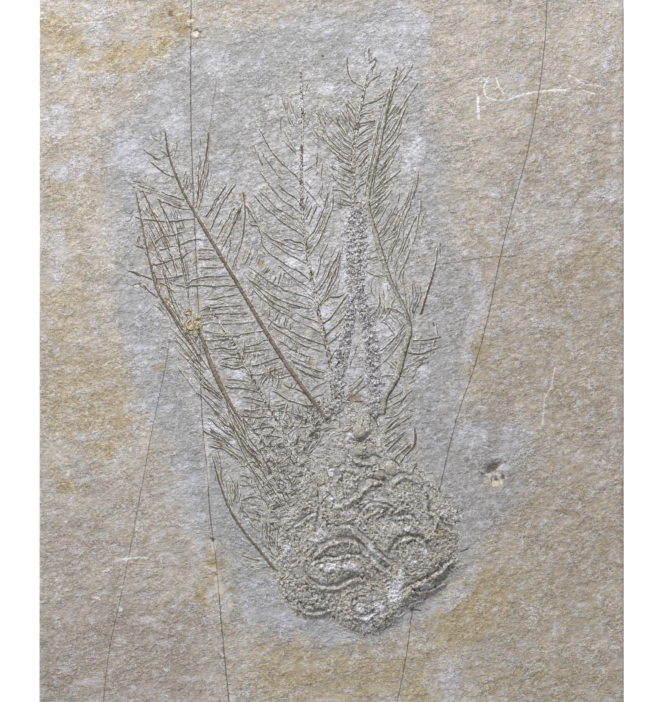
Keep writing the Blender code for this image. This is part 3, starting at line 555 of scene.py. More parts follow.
def between(lines, rng):
    """Lines part of the way from one pinnule to the next, wherever two like ones lie side by side."""
    found = []
    for first, second in zip(lines, lines[1:]):
        near, far = (line[np.linspace(0, len(line) - 1, 14).astype(int), :2] for line in (first, second))
        gap = np.hypot(*(far - near).T)
        if gap.max() < 4.2:
            shares = rng.uniform((0.2, 0.6), (0.4, 0.8)) if gap.mean() > 1.6 else rng.uniform((0.35,), (0.65,))
            found += [near + share * (far - near) + rng.normal(0, 0.06, near.shape) for share in shares]
    return found


def grow_arm(name, stem, route, grain, rows, rusty, pale, seed):
    """An arm with its pinnules, in one mesh of closed tubes."""
    rng = np.random.default_rng(seed)
    curve = new_tubes(name, stem, THREAD, PALE_THREAD_AND_HIGHLIGHT, RUSTY_THREAD, FAINT_THREAD)
    spine = traced(route, SPINE_STEP)
    run = np.arange(len(spine)) * SPINE_STEP
    rope = stem is ROPE_STEM
    beads = 1.4 * grain if rope else 0.04
    half = spine[:, 2] / 2 * (1 + beads * np.sin(run * 2 * math.pi / BEAD) + beads * rng.normal(0, 1, len(run)))
    half *= np.clip((run[-1] - run) / 4 + 0.15, 0.15, 1)
    spine[:, :2] += rng.normal(0, 0.5 * grain, (len(spine), 2))
    lay_spline(curve, spine, np.maximum((0.5 if rope else 1) * half, 0.1), -0.12 * spine[:, 2], material=0)
    if rope:
        for side in (-0.34, -0.12, 0.3):
            lay_dashes(curve, beside(spine, side * spine[:, 2:]), 0.16, (0, 1, 2, 2), rng, longest=3, lift=0.1)
    else:
        # Along a smooth stem, a dark dashed line on its lower side is a painted shadow, and a pale one on its upper
        # side a painted highlight.
        lay_dashes(curve, beside(spine, -0.42 * spine[:, 2:] - 0.06), 0.12, (1,), rng)
        lay_dashes(curve, beside(spine, 0.42 * spine[:, 2:] + 0.06), 0.12, (2,), rng)
    lines = []
    for material, group in ((1, rows), (2, pale), (3, rusty)):
        lines += [lay_pinnule(curve, row, 4 if (material, row[0]) == (1, 0.1) else material, rng) for row in group]
    # A thin pale line along the lit side of each pinnule: a painted highlight.
    for line in lines:
        lay_dashes(curve, beside(line, HIGHLIGHT_GAP), 0.1, (2,), rng, lift=0.02)
    for line in between(lines, rng):
        lay_dashes(curve, traced(line, STEP), 0.08, (2, 4, 4), rng, lift=0.01)
    for bit in broken_bits(lines, round(BROKEN * len(lines)), rng):
        radius = np.full(len(bit), rng.uniform(0.05, 0.1))
        lay_spline(curve, bit, radius, rng.uniform(-0.03, 0.03), rng.choice((1, 2, 4)))
    arm = settle(name, curve, grain)
    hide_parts(name)
    return arm


# Calcite, the mineral of the plates: denser and glossier than the stone, grey-brown where it is
# clean, white where it was crushed or has grown into crystals, brown where iron crept along it.
def calcite(name, body, dark, white, white_share, roughness, fine=1.7, tooth=0.16):
    """A calcite material: body and dark in patches of 1 to 3 mm, with white grains."""
    material = bpy.data.materials.new(name)
    material.use_nodes = True
    tree = material.node_tree
    shader = tree.nodes["Principled BSDF"]
    in_mm = add(tree, "Mapping", {"Vector": add(tree, "TexCoord", out="Object"), "Scale": (1000, 1000, 1000)})
    patches_ = add(tree, "TexNoise", {"Vector": in_mm, "Scale": 0.45, "Detail": 4.0, "Roughness": 0.7})
    grains = add(tree, "TexNoise", {"Vector": in_mm, "Scale": fine, "Detail": 4.0, "Roughness": 0.8})
    edge = 0.5 + (0.5 - white_share) * 0.5
    dark_share = add(tree, "MapRange", {"Value": patches_, "From Min": 0.4, "From Max": 0.6})
    white_spots = add(tree, "MapRange", {"Value": grains, "From Min": edge, "From Max": edge + 0.08})
    colour = layer_on(tree, linear(body), linear(dark), dark_share)
    colour = layer_on(tree, colour, linear(white), white_spots, 0.8)
    tree.links.new(colour, shader.inputs["Base Color"])
    height = add(tree, "Math", {0: grains, 1: tooth}, operation="MULTIPLY")
    tree.links.new(add(tree, "Bump", {"Height": height, "Strength": 1.0, "Distance": MM}),
                   shader.inputs["Normal"])
    shader.inputs["Roughness"].default_value = roughness
    shader.inputs["Specular IOR Level"].default_value = 0.35
    return material


SMOOTH_STEM = calcite("grey_brown_calcite", "6F685D", "585045", "A09C95", 0.35, 0.65)
OLIVE_STEM = calcite("olive_calcite", "8C8983", "726D64", "C2C0BB", 0.45, 0.65, 1.7, 0.3)
ROPE_STEM = calcite("mottled_calcite", "9B9791", "7C756A", "CBC9C6", 0.45, 0.6)
# The pinnules' dark colour is partly their own and partly a painted shadow along them.
THREAD = calcite("thread_calcite", "5F584E", "50483E", "928D84", 0.25, 0.65)
FAINT_THREAD = calcite("faint_thread_calcite", "726B61", "5F584E", "A9A6A0", 0.3, 0.65)
# Pale calcite, also laid as the painted highlight along the lit side of pinnules and stems.
PALE_THREAD_AND_HIGHLIGHT = calcite("pale_calcite_and_painted_highlight", "B4B2AF", "949087", "D2D2D2", 0.45, 0.65)
RUSTY_STEM = calcite("iron_stained_calcite", "776D5F", "625746", "A59E91", 0.35, 0.65)
RUSTY_THREAD = calcite("iron_stained_thread", "66543C", "53432F", "8C7D69", 0.25, 0.65)
CRUSHED_CALCITE = calcite("recrystallised_calcite", "7E7C7B", "554E47", "DEDEE6", 0.53, 0.5, 2.6, 0.35)

ARMS = (
    ("arm_long_left", SMOOTH_STEM, "grey_calcite", 0.05,
     ((-1.2, -17.4, 1.14), (-7.5, -9, 1.14), (-14, 0.5, 1.14), (-23, 15.5, 1.01), (-33.5, 33, 0.84), (-38, 41, 0.7),
      (-41.5, 50, 0.53), (-42.5, 56.5, 0.35)),
     (
         (0.17, -48.3, 51.8, -47.6, 51, -46.3, 50.3, -45.3, 49.5, -44, 49),
         (0.17, -46.5, 48.5, -43.2, 45.9, -41.9, 45.1, -40.4, 44.6),
         (0.1, -43.7, 51.3, -42.9, 50.8, -41.9, 49.7), (0.1, -45.8, 54.9, -45, 54.1, -44, 53.8),
         (0.1, -49.9, 42.6, -44.7, 40.8), (0.17, -43.5, 40.8, -42.2, 40, -40.9, 39.7, -37.8, 38.7),
         (0.17, -44.7, 39, -43.5, 38.2, -42.2, 37.9, -39.6, 36.7, -36.3, 36.2),
         (0.17, -50.4, 34.4, -48.6, 33.8, -46.5, 33.6, -42.7, 33.1, -40.9, 33.3, -39.4, 33.3, -38.1, 33.6,
          -35, 33.8), (0.13, -45.3, 27.7, -43.5, 29.2, -40.4, 29.7, -38.8, 30.3, -37.6, 30.3),
         (0.13, -44, 25.9, -42.4, 26.2, -41.2, 26.7, -39.4, 26.9, -38.3, 27.4, -35.5, 28.5, -31.9, 28.5),
         (0.17, -46.5, 22.6, -45.3, 22.1, -44, 22.3, -40.9, 23.3, -38.1, 24.1, -37.1, 24.9, -35.8, 25.6),
         (0.13, -34.2, 25.9, -31.2, 25.9, -29.9, 25.6), (0.13, -34.2, 23.6, -30.9, 23.6, -29.4, 23.8),
         (0.13, -45.5, 18.5, -43.5, 18.5, -41.4, 18.7, -37.6, 19.5, -36, 19.5),
         (0.13, -33.7, 21.3, -27.6, 21.3),
         (0.13, -38.1, 17.7, -36.5, 17.4, -35.5, 18.2, -31.9, 19, -29.9, 19, -27.6, 19.2, -25.8, 19.2),
         (0.17, -39.9, 16.9, -38.6, 16.7, -37.1, 16.2, -35.8, 16.7, -31.7, 16.7, -29.6, 16.4, -27.6, 16.7,
          -24.7, 16.7), (0.13, -31.7, 13.1, -29.9, 13.3, -27.8, 13.8, -24, 14.4),
         (0.13, -33.7, 10, -32.2, 10.8, -29.9, 11, -28.1, 11.3, -24.7, 11.5, -22.9, 11.8),
         (0.13, -33.5, 9, -28.6, 9.5, -21.7, 9.5),
         (0.1, -32.9, 6.7, -30.6, 7.2, -28.1, 6.9, -25, 6.9, -19.6, 7.4),
         (0.13, -28.1, 3.8, -24.2, 3.8, -22.4, 4.4, -17.3, 5.1),
         (0.1, -30.1, 2.6, -28.1, 2.8, -26, 3.3, -23.5, 3.6),
         (0.13, -21.9, 1, -18.8, 1.8, -17.6, 2.6, -16, 2.8), (0.13, -23.5, -0.3, -20.9, -0.3, -15.8, 0.5),
         (0.17, -20.4, -3.8, -18.8, -3.6, -14.5, -2.1, -13.2, -1.8),
         (0.13, -19.1, -6.2, -17.6, -5.9, -14.5, -4.9, -12.7, -4.6),
         (0.13, -15.5, -5.9, -14.5, -6.9, -13.5, -7.2, -11.9, -6.7, -10.1, -6.4),
         (0.17, -12.2, -8.5, -11.2, -9.2, -9.9, -9.5, -7.6, -10.5, -6.5, -11.3, -5.3, -11.8),
         (0.17, -15.3, -10.3, -13.7, -11, -11.2, -12.6, -9.6, -13.1, -6.5, -14.1, -2.9, -13.8),
         (0.1, -15.8, -14.1, -14, -14.1, -11.9, -13.6),
         (0.13, -14.5, -15.4, -11.2, -15.6, -9.6, -16.2, -6.3, -17.2, -4.5, -17.4, -2.9, -17.9, -1.4, -18.2),
         (0.13, -12.4, -18.5, -11.2, -19.2, -9.6, -19.5, -6.5, -19.5, -3.5, -18.5, -2.2, -17.9),
         (0.1, -39.9, 53.8, -39.6, 52.6, -40.4, 49.5), (0.13, -37.3, 46.2, -38.1, 43.1),
         (0.13, -36.8, 44.9, -37.6, 41.8), (0.1, -36.3, 44.4, -36.5, 42.8, -37.1, 41.3),
         (0.1, -34.2, 51.3, -33.7, 49, -34, 46.9, -34.5, 41.3, -34.5, 37.9),
         (0.13, -34, 49, -34, 46.4, -34.2, 43.8, -34.2, 41.3, -34.7, 37.9),
         (0.13, -31.4, 48.5, -31.9, 44.9, -32.9, 41.3, -33.2, 39.5, -34.2, 35.9),
         (0.17, -27.1, 42.3, -28.8, 39.7, -29.9, 38.5, -30.4, 37.2, -32.2, 34.4),
         (0.17, -24.5, 42.8, -26, 40.8, -26.8, 39.5, -27.8, 38.2, -29.9, 33.8, -30.4, 32.3, -31.2, 30.5),
         (0.13, -24.7, 36.7, -25.8, 35.4, -26.3, 34.1, -27.3, 32.6, -29.4, 28.7),
         (0.17, -22.9, 37.4, -24, 35.1, -24.7, 33.1, -28.3, 25.6), (0.13, -26, 29, -26, 26.7, -27.1, 22.6),
         (0.1, -24.5, 24.4, -25.5, 20.8), (0.1, -22.7, 29.5, -23.2, 27.2, -24, 24.9, -24.5, 22.8),
     ),
     (
         (0.2, -31.7, 56.2, -31.7, 54.1, -32.2, 49.5, -32.7, 47.4, -32.9, 45.4),
         (0.13, -32.9, 45.9, -34, 41.8, -34.2, 39.2, -34.7, 36.7),
         (0.17, -22.7, 40.8, -22.2, 36.9, -22.2, 34.6, -22.7, 29.7, -23.2, 27.7),
         (0.13, -22.2, 37.4, -21.2, 36.2, -19.6, 33.1), (0.13, -22.9, 37.4, -24.5, 34.9, -25.5, 32.6),
         (0.1, -21.9, 37.7, -19.9, 33.8, -19.1, 32.8),
         (0.13, -21.4, 33.1, -20.4, 32.1, -19.1, 32.1, -18.3, 30.8),
         (0.1, -22.7, 37.9, -23.5, 35.6, -24, 33.6),
     ),
     ()),
    ("arm_left", RUSTY_STEM, "iron_stained_calcite", 0.05,
     ((-23, -18, 0.4), (-27, -11.5, 1.2), (-30.5, -4, 1.3), (-34, 6, 0.9)),
     (
         (0.15, -27.5, -12, -25.5, -16, -23.5, -20.3, -20.4, -25.6, -17.6, -31, -11.6, -41.5),
         (0.17, -26.5, -14.5, -25.5, -18.5, -22.2, -24.6, -18.6, -29, -16.3, -33.6, -11.2, -41),
         (0.13, -27, -16, -22.4, -26.7, -14, -41.3),
         (0.17, -24.5, -17, -20.9, -22.8, -17.8, -26.9, -12.9, -36.2, -10.6, -40),
         (0.13, -23.5, -16.5, -19.6, -20.8, -16.2, -25.6, -11.4, -35.6),
         (0.17, -43.5, 12.6, -41.4, 9.7, -39.4, 6.2, -37.3, 3.1, -34.7, 0, -31.2, -5.1),
         (0.13, -42.2, 12.6, -39.6, 9, -37.6, 5.6, -32.9, -0.8), (0.1, -41.4, 5.9, -37.8, 2.3, -35.5, -0.5),
         (0.13, -40.1, 3.6, -38.8, 1.5, -32.9, -5.6), (0.1, -39.9, 0.5, -35, -4.6),
         (0.13, -38.8, 3.3, -35.8, -0.3, -33.7, -3.3, -32.2, -4.9),
         (0.1, -39.4, -4.4, -36.5, -8.2, -35.5, -9.7, -34.2, -11.3),
         (0.13, -37.3, -1.8, -34, -5.1, -32.4, -7.2, -30.6, -9, -28.1, -11.8),
         (0.13, -36.3, -3.8, -33.2, -7.4, -31.7, -9, -29.9, -10.3, -28.1, -12.1),
         (0.1, -35.8, -5.6, -34.5, -7.4, -32.7, -9.2, -30.9, -10.5),
         (0.17, -33.2, -9.2, -31.9, -9.7, -29.4, -11.3, -28.1, -12.6),
         (0.17, -34.5, -10.8, -33.2, -11.8, -29.6, -15.6, -28.3, -16.7, -27.1, -17.9),
         (0.13, -30.4, -14.9, -29.4, -16.2, -27.1, -18.5), (0.13, -32.7, -11.3, -31.2, -12.3, -28.1, -14.9),
         (0.17, -31.7, -17.2, -30.6, -17.9, -29.6, -19, -27.1, -21, -26, -21.5, -24.5, -22.6),
         (0.17, -32.9, -20.5, -31.7, -21.3, -30.4, -21.8, -29.1, -22.6, -27.3, -23.3),
         (0.17, -31.2, -24.4, -29.6, -24.9, -28.1, -25.1, -26.8, -25.9, -24, -27.7),
         (0.13, -28.1, -22.3, -25.3, -24.6, -23.5, -25.6),
         (0.1, -27.6, -24.4, -26.3, -25.4, -25, -26.2, -23.5, -27.4),
         (0.17, -28.8, -17.4, -27.1, -19, -25.8, -19.7, -22.9, -21.5),
         (0.13, -26.5, -18.2, -25.3, -19.7, -24, -20.8, -22.7, -22.1),
         (0.1, -30.4, -15.4, -28.1, -18.2, -26.5, -19.5),
         (0.17, -23.5, -22.1, -21.4, -24.4, -20.1, -25.4, -18.8, -26.7),
         (0.17, -21.9, -25.1, -20.9, -26.2, -19.9, -26.9, -17.6, -29.2), (0.13, -20.4, -28.2, -17.1, -31.5),
         (0.17, -19.4, -31.3, -18.1, -32.8, -15.5, -35.4),
         (0.13, -22.7, -17.2, -22.4, -18.7, -21.4, -21.8, -20.6, -23.3),
         (0.1, -24.5, -16.9, -23.5, -18.7, -21.9, -22.3), (0.1, -26, -15.4, -22.9, -18.7),
         (0.1, -26.5, -16.7, -23.5, -20.3), (0.1, -31.4, -19.7, -29.9, -20.8, -28.1, -21.8, -26.3, -23.1),
         (0.1, -30.4, -23.1, -28.6, -23.6, -26.8, -24.6), (0.1, -34, 2.8, -32.7, 0.5, -30.1, -5.1),
         (0.1, -23.5, -27.9, -20.4, -31, -18.8, -32.3), (0.1, -24.2, -26.7, -22.7, -27.7, -19.6, -30.5),
         (0.1, -19.4, -17.4, -19.9, -18.5, -20.9, -19.2), (0.1, -17.1, -17.7, -18.8, -20.3),
         (0.1, -16.5, -17.2, -16.5, -19.7), (0.1, -17.6, -21.5, -18.6, -24.1),
         (0.17, -14.7, -22.3, -15.5, -23.1, -16.5, -24.4, -19.1, -25.6),
         (0.13, -14.7, -25.4, -16.3, -25.4, -17.8, -25.6),
         (0.13, -12.7, -27.4, -14.2, -27.9, -16, -28.2, -16.8, -28.7),
         (0.13, -12.7, -27.9, -13.7, -29, -15, -30), (0.13, -23.5, -32.1, -22.2, -32.1, -21.2, -32.6),
         (0.13, -23.2, -38.5, -20.4, -37.4, -17.6, -38.2), (0.1, -23.5, -39, -19.4, -39.5),
         (0.1, -23.5, -29.7, -21.9, -29.5, -20.6, -28.5), (0.13, -21.7, -29, -20.6, -28.5, -19.4, -28.7),
         (0.1, -20.6, -33.1, -20.1, -34.9, -19.4, -36.4), (0.1, -23.5, -34.4, -21.4, -34.6, -19.4, -34.4),
         (0.1, -11.7, -29.5, -13.2, -29.7, -14.7, -29.5),
     ),
     (),
     ()),
    ("arm_far_left", RUSTY_STEM, "iron_stained_calcite", 0.05,
     ((-34.2, -1, 0.48), (-36.5, 3, 0.54), (-41, 10, 0.6), (-44.5, 15.5, 0.54), (-46.5, 23, 0.48), (-49, 35.5, 0.36),
      (-50.2, 41.5, 0.24)),
     (
         (0.13, -45.8, 35.9, -44.7, 34.4, -42.4, 30.5, -41.9, 29),
         (0.17, -44.6, 39, -42.1, 34.2, -39.5, 27.8, -37.8, 21.4, -36.5, 14.4),
         (0.17, -39.5, 31, -38.8, 24.6, -36.3, 11.8),
         (0.13, -46.8, 30, -44.9, 25.6, -42.6, 19.6, -40.6, 13.8, -38, 8.2), (0.13, -47.3, 33.1, -44, 26.7),
         (0.13, -46, 33.1, -45, 31.5, -42.7, 26.9), (0.13, -44.5, 33.1, -41.4, 26.9),
         (0.13, -44.2, 39, -43.7, 36.9, -42.9, 35.4, -42.2, 32.6, -41.4, 30.5),
         (0.1, -41.4, 36.4, -40.6, 34.6, -39.4, 30.8),
         (0.1, -40.6, 36.9, -39.6, 35.1, -39.1, 33.1, -38.3, 30.8),
         (0.17, -39.6, 29.5, -39.1, 27.9, -39.1, 26.4), (0.1, -37.8, 28.5, -37.8, 26.7, -37.1, 25.4),
         (0.13, -41.9, 25.4, -39.4, 21.3), (0.1, -39.1, 22.8, -38.3, 21, -37.3, 17.4),
         (0.1, -37.6, 23.3, -37.3, 21.3, -36.8, 19.5, -36.5, 17.7), (0.1, -47.8, 29.2, -47.8, 27.4),
         (0.1, -51.4, 16.7, -50.1, 17.2, -48.8, 17.4), (0.1, -45.3, 11.8, -44.2, 10.8, -43.2, 9.5),
         (0.1, -41.4, 12.6, -38.8, 11.8, -37.1, 9.2), (0.1, -50.9, 36.2, -51.7, 35.1, -52.7, 35.6),
         (0.1, -50.4, 41.8, -52.7, 43.6), (0.1, -47.8, 37.2, -46.3, 34.6), (0.1, -48.6, 36.4, -46.5, 33.6),
     ),
     (
         (0.2, -48.5, 41.3, -45.9, 35.5, -43.3, 30.4, -41.2, 24.6, -39.5, 18.8),
         (0.2, -47.8, 25.4, -45.9, 21.4, -44.6, 16.9, -43.3, 13.1, -40.8, 9.2, -38.2, 5.4),
         (0.17, -43.3, 20.8, -42.1, 16.3, -40.1, 10.5, -38.8, 7.9),
         (0.13, -44.7, 25.9, -44, 24.4, -42.4, 21.8, -41.7, 20.3, -40.9, 19),
         (0.13, -46.5, 25.4, -44, 23.3, -42.7, 22.8),
         (0.17, -52.2, 20.5, -50.9, 20.3, -49.6, 19.7, -46.8, 18.7, -45.3, 17.9),
         (0.13, -50.4, 27.2, -49.4, 26.7, -46.8, 26.2), (0.1, -49.4, 29.5, -49.9, 27.7),
         (0.17, -48.1, 16.9, -47.1, 15.6, -44.5, 13.6), (0.13, -44, 17.4, -42.7, 16.9, -40.1, 14.9),
     ),
     ()),
    ("arm_inner_left", ROPE_STEM, "grey_calcite", 0.1,
     ((-6, -33, 1), (-10, -25.5, 0.9), (-14, -17.5, 0.9), (-18, -11, 0.8), (-25.5, 2.5, 0.7), (-32, 12, 0.4)),
     (
         (0.13, -31.2, 0.3, -28.1, 0.8, -26.3, 0.3, -24.7, 0.5, -23.7, 0.5),
         (0.1, -29.4, -0.3, -27.8, 0, -26, -0.8, -24, -0.8),
         (0.13, -28.1, -2.1, -26.3, -1.8, -24.5, -1.8, -22.7, -2.1),
         (0.17, -28.6, -3.8, -26.8, -4.1, -24.7, -4.6, -22.7, -4.1, -21.4, -4.4),
         (0.1, -27.3, -3.3, -25.5, -3.6, -23.5, -3.6),
         (0.1, -26.8, -7.4, -25, -7.4, -21.7, -7.9, -19.9, -8.5),
         (0.17, -27.3, -9, -25.8, -9.5, -24, -9.5, -20.9, -10, -17.8, -11),
         (0.13, -22.7, -11.8, -20.6, -12.1, -19.4, -12.6, -17.6, -13.1),
         (0.13, -22.4, -15.1, -20.4, -15.4, -18.8, -15.1, -16, -15.1),
         (0.17, -23.5, -16.7, -20.6, -16.9, -19.1, -17.2, -17.6, -16.9, -16, -16.9, -15, -17.2),
         (0.13, -20.9, -20.3, -15.8, -19.5, -13.7, -19.7),
         (0.17, -20.1, -21, -17.1, -21.8, -15.3, -21.8, -13.5, -22.1, -11.9, -22.6),
         (0.1, -32.2, 2.6, -30.6, 2.6, -29.1, 2.8, -27.3, 2.6), (0.1, -29.4, 3.8, -27.6, 3.8, -25.8, 3.3),
         (0.1, -32.4, 5.1, -30.6, 4.6, -27.1, 4.1), (0.1, -22.2, -6.7, -19.6, -8.2),
         (0.1, -20.1, -13.3, -17.6, -14.4), (0.1, -18.8, -18.2, -17.3, -18.7, -15.8, -19),
         (0.13, -17.8, -24.6, -15.8, -24.4, -14, -24.6, -11.9, -24.4, -10.6, -24.6),
         (0.13, -11.9, -25.1, -9.1, -25.1), (0.13, -16.5, -6.9, -17.3, -7.9, -17.8, -9),
         (0.1, -17.3, -5.4, -17.8, -6.7, -18.6, -7.7), (0.1, -18.8, -0.5, -19.1, -2.3, -19.6, -3.8),
         (0.1, -15.3, -15.6, -15.3, -17.7), (0.1, -15.8, -4.4, -15.8, -6.7, -16.3, -8.7),
         (0.1, -14.5, -3.3, -14.5, -5.1, -14.7, -7.2), (0.1, -13.7, -16.7, -13.2, -17.9, -13.7, -19.5),
         (0.1, -11.2, -13.6, -12.2, -17.7), (0.1, -9.9, -13.1, -10.1, -15.1, -10.6, -17.2),
         (0.1, -17.8, -14.1, -17.6, -16.2), (0.1, -20.6, -13.8, -20.6, -15.9, -20.9, -17.7),
         (0.1, -22.2, 2.8, -22.7, -2.3), (0.1, -20.6, -1.8, -20.9, -3.8), (0.1, -23.5, 1.5, -21.9, -0.8),
         (0.1, -13.7, -5.4, -13.5, -7.4, -14, -9.5), (0.1, -16, -10.5, -15.8, -12.6, -16.3, -14.4),
         (0.1, -7.6, -13.6, -7.3, -15.6, -7.6, -17.7), (0.1, -4.2, -13.8, -4.5, -15.6, -5, -17.2),
         (0.1, -8.8, -7.9, -9.4, -9.5), (0.1, -11.9, -2.8, -12.9, -6.7),
     ),
     (),
     ()),
    ("arm_centre_left", ROPE_STEM, "grey_calcite", 0.12,
     ((1.4, -16, 1.4), (0.2, -9, 1.4), (-0.5, -2, 1.3), (-3.5, 10.5, 1.1), (-5, 18, 1), (-7.2, 31, 0.9),
      (-7.8, 45, 0.8), (-7.5, 60, 0.6), (-8, 72.5, 0.4)),
     (
         (0.1, -12.7, 65.1, -11.7, 61.3, -10.1, 57.2), (0.1, -10.6, 64.4, -10.1, 62.3, -8.8, 59),
         (0.1, -12.2, 56.4, -11.2, 54.4, -9.4, 51.5),
         (0.17, -18.6, 56.9, -17.8, 55.6, -17.1, 54.1, -16.3, 52.8, -15.5, 51.3, -12.9, 48.2, -11.7, 47.2,
          -10.4, 45.9, -9.1, 44.9, -7.6, 42.6), (0.1, -19.9, 52.6, -18.3, 48.7, -17.6, 47.4),
         (0.13, -17.8, 51, -17.1, 49.5, -15, 46.7, -13.5, 44.6, -12.7, 44.1),
         (0.13, -18.3, 45.9, -16.8, 43.6, -14.7, 41, -12.4, 38.5, -10.9, 37.4, -9.9, 36.9, -7.6, 34.9),
         (0.13, -13.7, 42.8, -11.7, 40.8, -9.6, 39.5, -8.8, 38.7, -7.6, 36.7),
         (0.13, -18.6, 41, -16, 38.7, -15, 37.4, -13.7, 36.4, -12.2, 35.6, -9.9, 34.1, -8.8, 33.6,
          -7.3, 32.3),
         (0.17, -19.9, 40, -17.6, 37.2, -16.3, 35.9, -15, 35.1, -14, 34.1, -11.7, 32.3, -9.1, 30.8,
          -7.1, 29.2), (0.1, -10.6, 42.3, -9.6, 41.8, -7.6, 39.7),
         (0.13, -18.1, 30.8, -16.5, 29.7, -15.5, 28.7, -12.4, 27.4, -10.1, 26.2, -7.3, 25.6),
         (0.17, -12.2, 28.5, -10.6, 28.5, -9.1, 27.9, -7.8, 27.7, -6.8, 26.9, -5.5, 26.2),
         (0.13, -15.3, 27.7, -14, 26.9, -11.7, 25.1, -9.1, 23.8, -8.1, 23.1, -6.5, 22.3),
         (0.17, -18.8, 31.8, -18.1, 29.7, -17.8, 27.7, -16.8, 25.9, -15.5, 24.6, -14.2, 23.8, -10.6, 21.3,
          -9.1, 20.8, -7.8, 20, -5.8, 18.2, -5, 17.2),
         (0.13, -13.5, 21.8, -12.4, 21, -11.4, 20, -9.1, 18.2, -7.6, 17.4, -5, 15.6),
         (0.13, -21.2, 21.5, -18.3, 19.5, -17.1, 18.5, -14.5, 16.9, -13.2, 16.4, -12.2, 15.6, -10.6, 15.1,
          -6, 13.6, -4.5, 12.8),
         (0.13, -21.9, 19.2, -21.2, 18.2, -19.6, 17.2, -16.8, 15.1, -12.2, 12.6, -6.8, 11, -4.5, 10.8),
         (0.13, -19.6, 16.4, -17.8, 14.9, -16.5, 13.6, -14, 11.8, -12.7, 11.3, -10.9, 10.3),
         (0.13, -19.9, 15.6, -18.3, 13.6, -16.8, 12.6, -15.5, 11.5, -14.2, 10.8, -12.7, 9.7, -11.2, 9,
          -9.6, 7.9, -8.1, 7.2), (0.13, -8.8, 9.7, -7.8, 9, -3.5, 7.4, -2.7, 6.7),
         (0.13, -16.3, 8.2, -13.5, 6.2, -11.9, 5.9, -10.6, 5.1, -7.6, 3.6, -5.5, 2.8),
         (0.13, -7.3, 6.9, -4.2, 5.4, -2.7, 4.4),
         (0.13, -15.3, 6.4, -14, 5.4, -10.9, 3.6, -9.6, 2.6, -8.3, 2.1, -7.1, 1.3, -2.2, -0.3),
         (0.17, -10.9, 5.1, -9.6, 4.6, -8.3, 3.8, -6.8, 3.3, -5.3, 2.6, -1.9, 1.5),
         (0.13, -13.5, 2.6, -11.7, 1.5, -10.4, 0.5, -9.1, 0, -7.8, -0.8, -4.7, -1.8),
         (0.13, -10.6, -2.1, -9.6, -2.8, -8.1, -3.3, -6.5, -4.1, -5.3, -4.4, -3.7, -5.1, -1.9, -5.6),
         (0.17, -8.8, -4.6, -7.6, -5.1, -6.3, -5.9, -4.7, -6.4, -2.9, -7.2),
         (0.1, -11.7, -0.3, -8.6, -2.3, -7.1, -2.8, -5.5, -3.6), (0.1, -7.3, -5.1, -5.8, -6.2, -3.5, -8.2),
         (0.1, -20.4, 26.7, -21.4, 23.8, -22.2, 22.3), (0.1, -18.8, 24.6, -19.6, 22.3),
         (0.1, -16, 21.5, -17.1, 20), (0.1, -18.1, 18.5, -18.8, 17.2), (0.13, -12.9, 20, -13.5, 17.4),
         (0.1, -10.1, 17.9, -10.6, 16.2), (0.1, -17.6, 12.3, -17.8, 10.3), (0.13, -15.8, 10.8, -16, 8.7),
         (0.13, -13.5, 9.7, -14.5, 7.7), (0.13, -11.7, 8.5, -12.2, 6.4), (0.17, -10.4, 7.2, -10.6, 5.4),
         (0.1, -19.9, 15.9, -20.4, 14.4), (0.1, -8.8, 13.6, -9.4, 12.6), (0.1, -11.4, 3.6, -11.9, 1.8),
         (0.1, -8.8, 2.1, -9.4, 0.8), (0.1, -14.2, 19.2, -14.5, 17.9), (0.1, -8.1, -0.3, -8.6, -1.8),
         (0.1, -5.5, -1.5, -5.8, -3.1), (0.1, -5.8, 68.7, -6.8, 66.2),
         (0.1, -6.5, 61.3, -7.3, 59.7, -7.8, 58.2), (0.1, -5, 47.2, -6, 46.7, -7.1, 45.9),
         (0.13, -6, 39.7, -7.1, 36.2), (0.13, -5, 37.2, -6.5, 33.8), (0.17, -3.7, 37.2, -5.8, 32.3),
         (0.17, -0.9, 40.5, -1.9, 36.7, -4.2, 31.3, -6.3, 28.5),
         (0.13, 0.4, 42.1, 0.4, 37.4, -0.1, 35.6, -3.2, 28.2, -5.3, 24.9),
         (0.1, -2.2, 43.3, -2.4, 41.3, -2.9, 39.5),
         (0.13, -7.8, 43.6, -7.1, 42.1, -4.7, 39.2, -3.7, 37.7, -2.9, 36.9),
         (0.1, -1.2, 36.2, -1.9, 34.1, -3.5, 30.3, -4.7, 28.5),
         (0.13, -0.9, 27.4, -2.7, 23.8, -2.9, 21.8, -4.2, 18.2),
         (0.17, 2.2, 25.9, 1.2, 23.6, 0.1, 21.8, -0.6, 20.3, -1.2, 18.7, -4.2, 14.4),
         (0.13, 2.4, 25.4, 1.4, 21.5, -0.9, 16.2, -1.4, 14.6, -2.4, 12.8, -3.5, 11.5),
         (0.13, 1.9, 22.1, 1.7, 20, 0.9, 17.9, -0.1, 16.4, -1.7, 13.3, -2.9, 11.8),
         (0.17, 3.2, 14.4, 1.4, 13.8, -0.4, 13.8, -1.7, 12.8, -2.9, 11.5),
         (0.17, 4.2, 14.6, 0.6, 9.5, -0.4, 8.2, -1.7, 7.4, -2.7, 6.2),
         (0.17, 5.5, 12.8, 4.7, 11, 2.2, 7.4, -0.9, 4.6, -2.2, 3.1),
         (0.13, 4.5, 7.7, 3.2, 5.4, 1.7, 3.8, -1.4, 1.3),
         (0.13, 6.3, 9.7, 5, 8.5, 4, 6.9, 2.9, 5.4, 1.7, 3.3), (0.1, -3.5, 13.8, -1.7, 11.8, -0.4, 11.5),
         (0.1, -2.2, 48.5, -2.7, 44.4), (0.1, -3.7, 51.5, -3.5, 49.5, -4, 47.9),
         (0.13, 4.7, 1.8, 3.2, 1.5, 1.9, 0.8, 0.6, -0.5, -1.2, -3.3), (0.1, 3.5, 4.9, 2.9, 3.3, 2.7, 1.8),
     ),
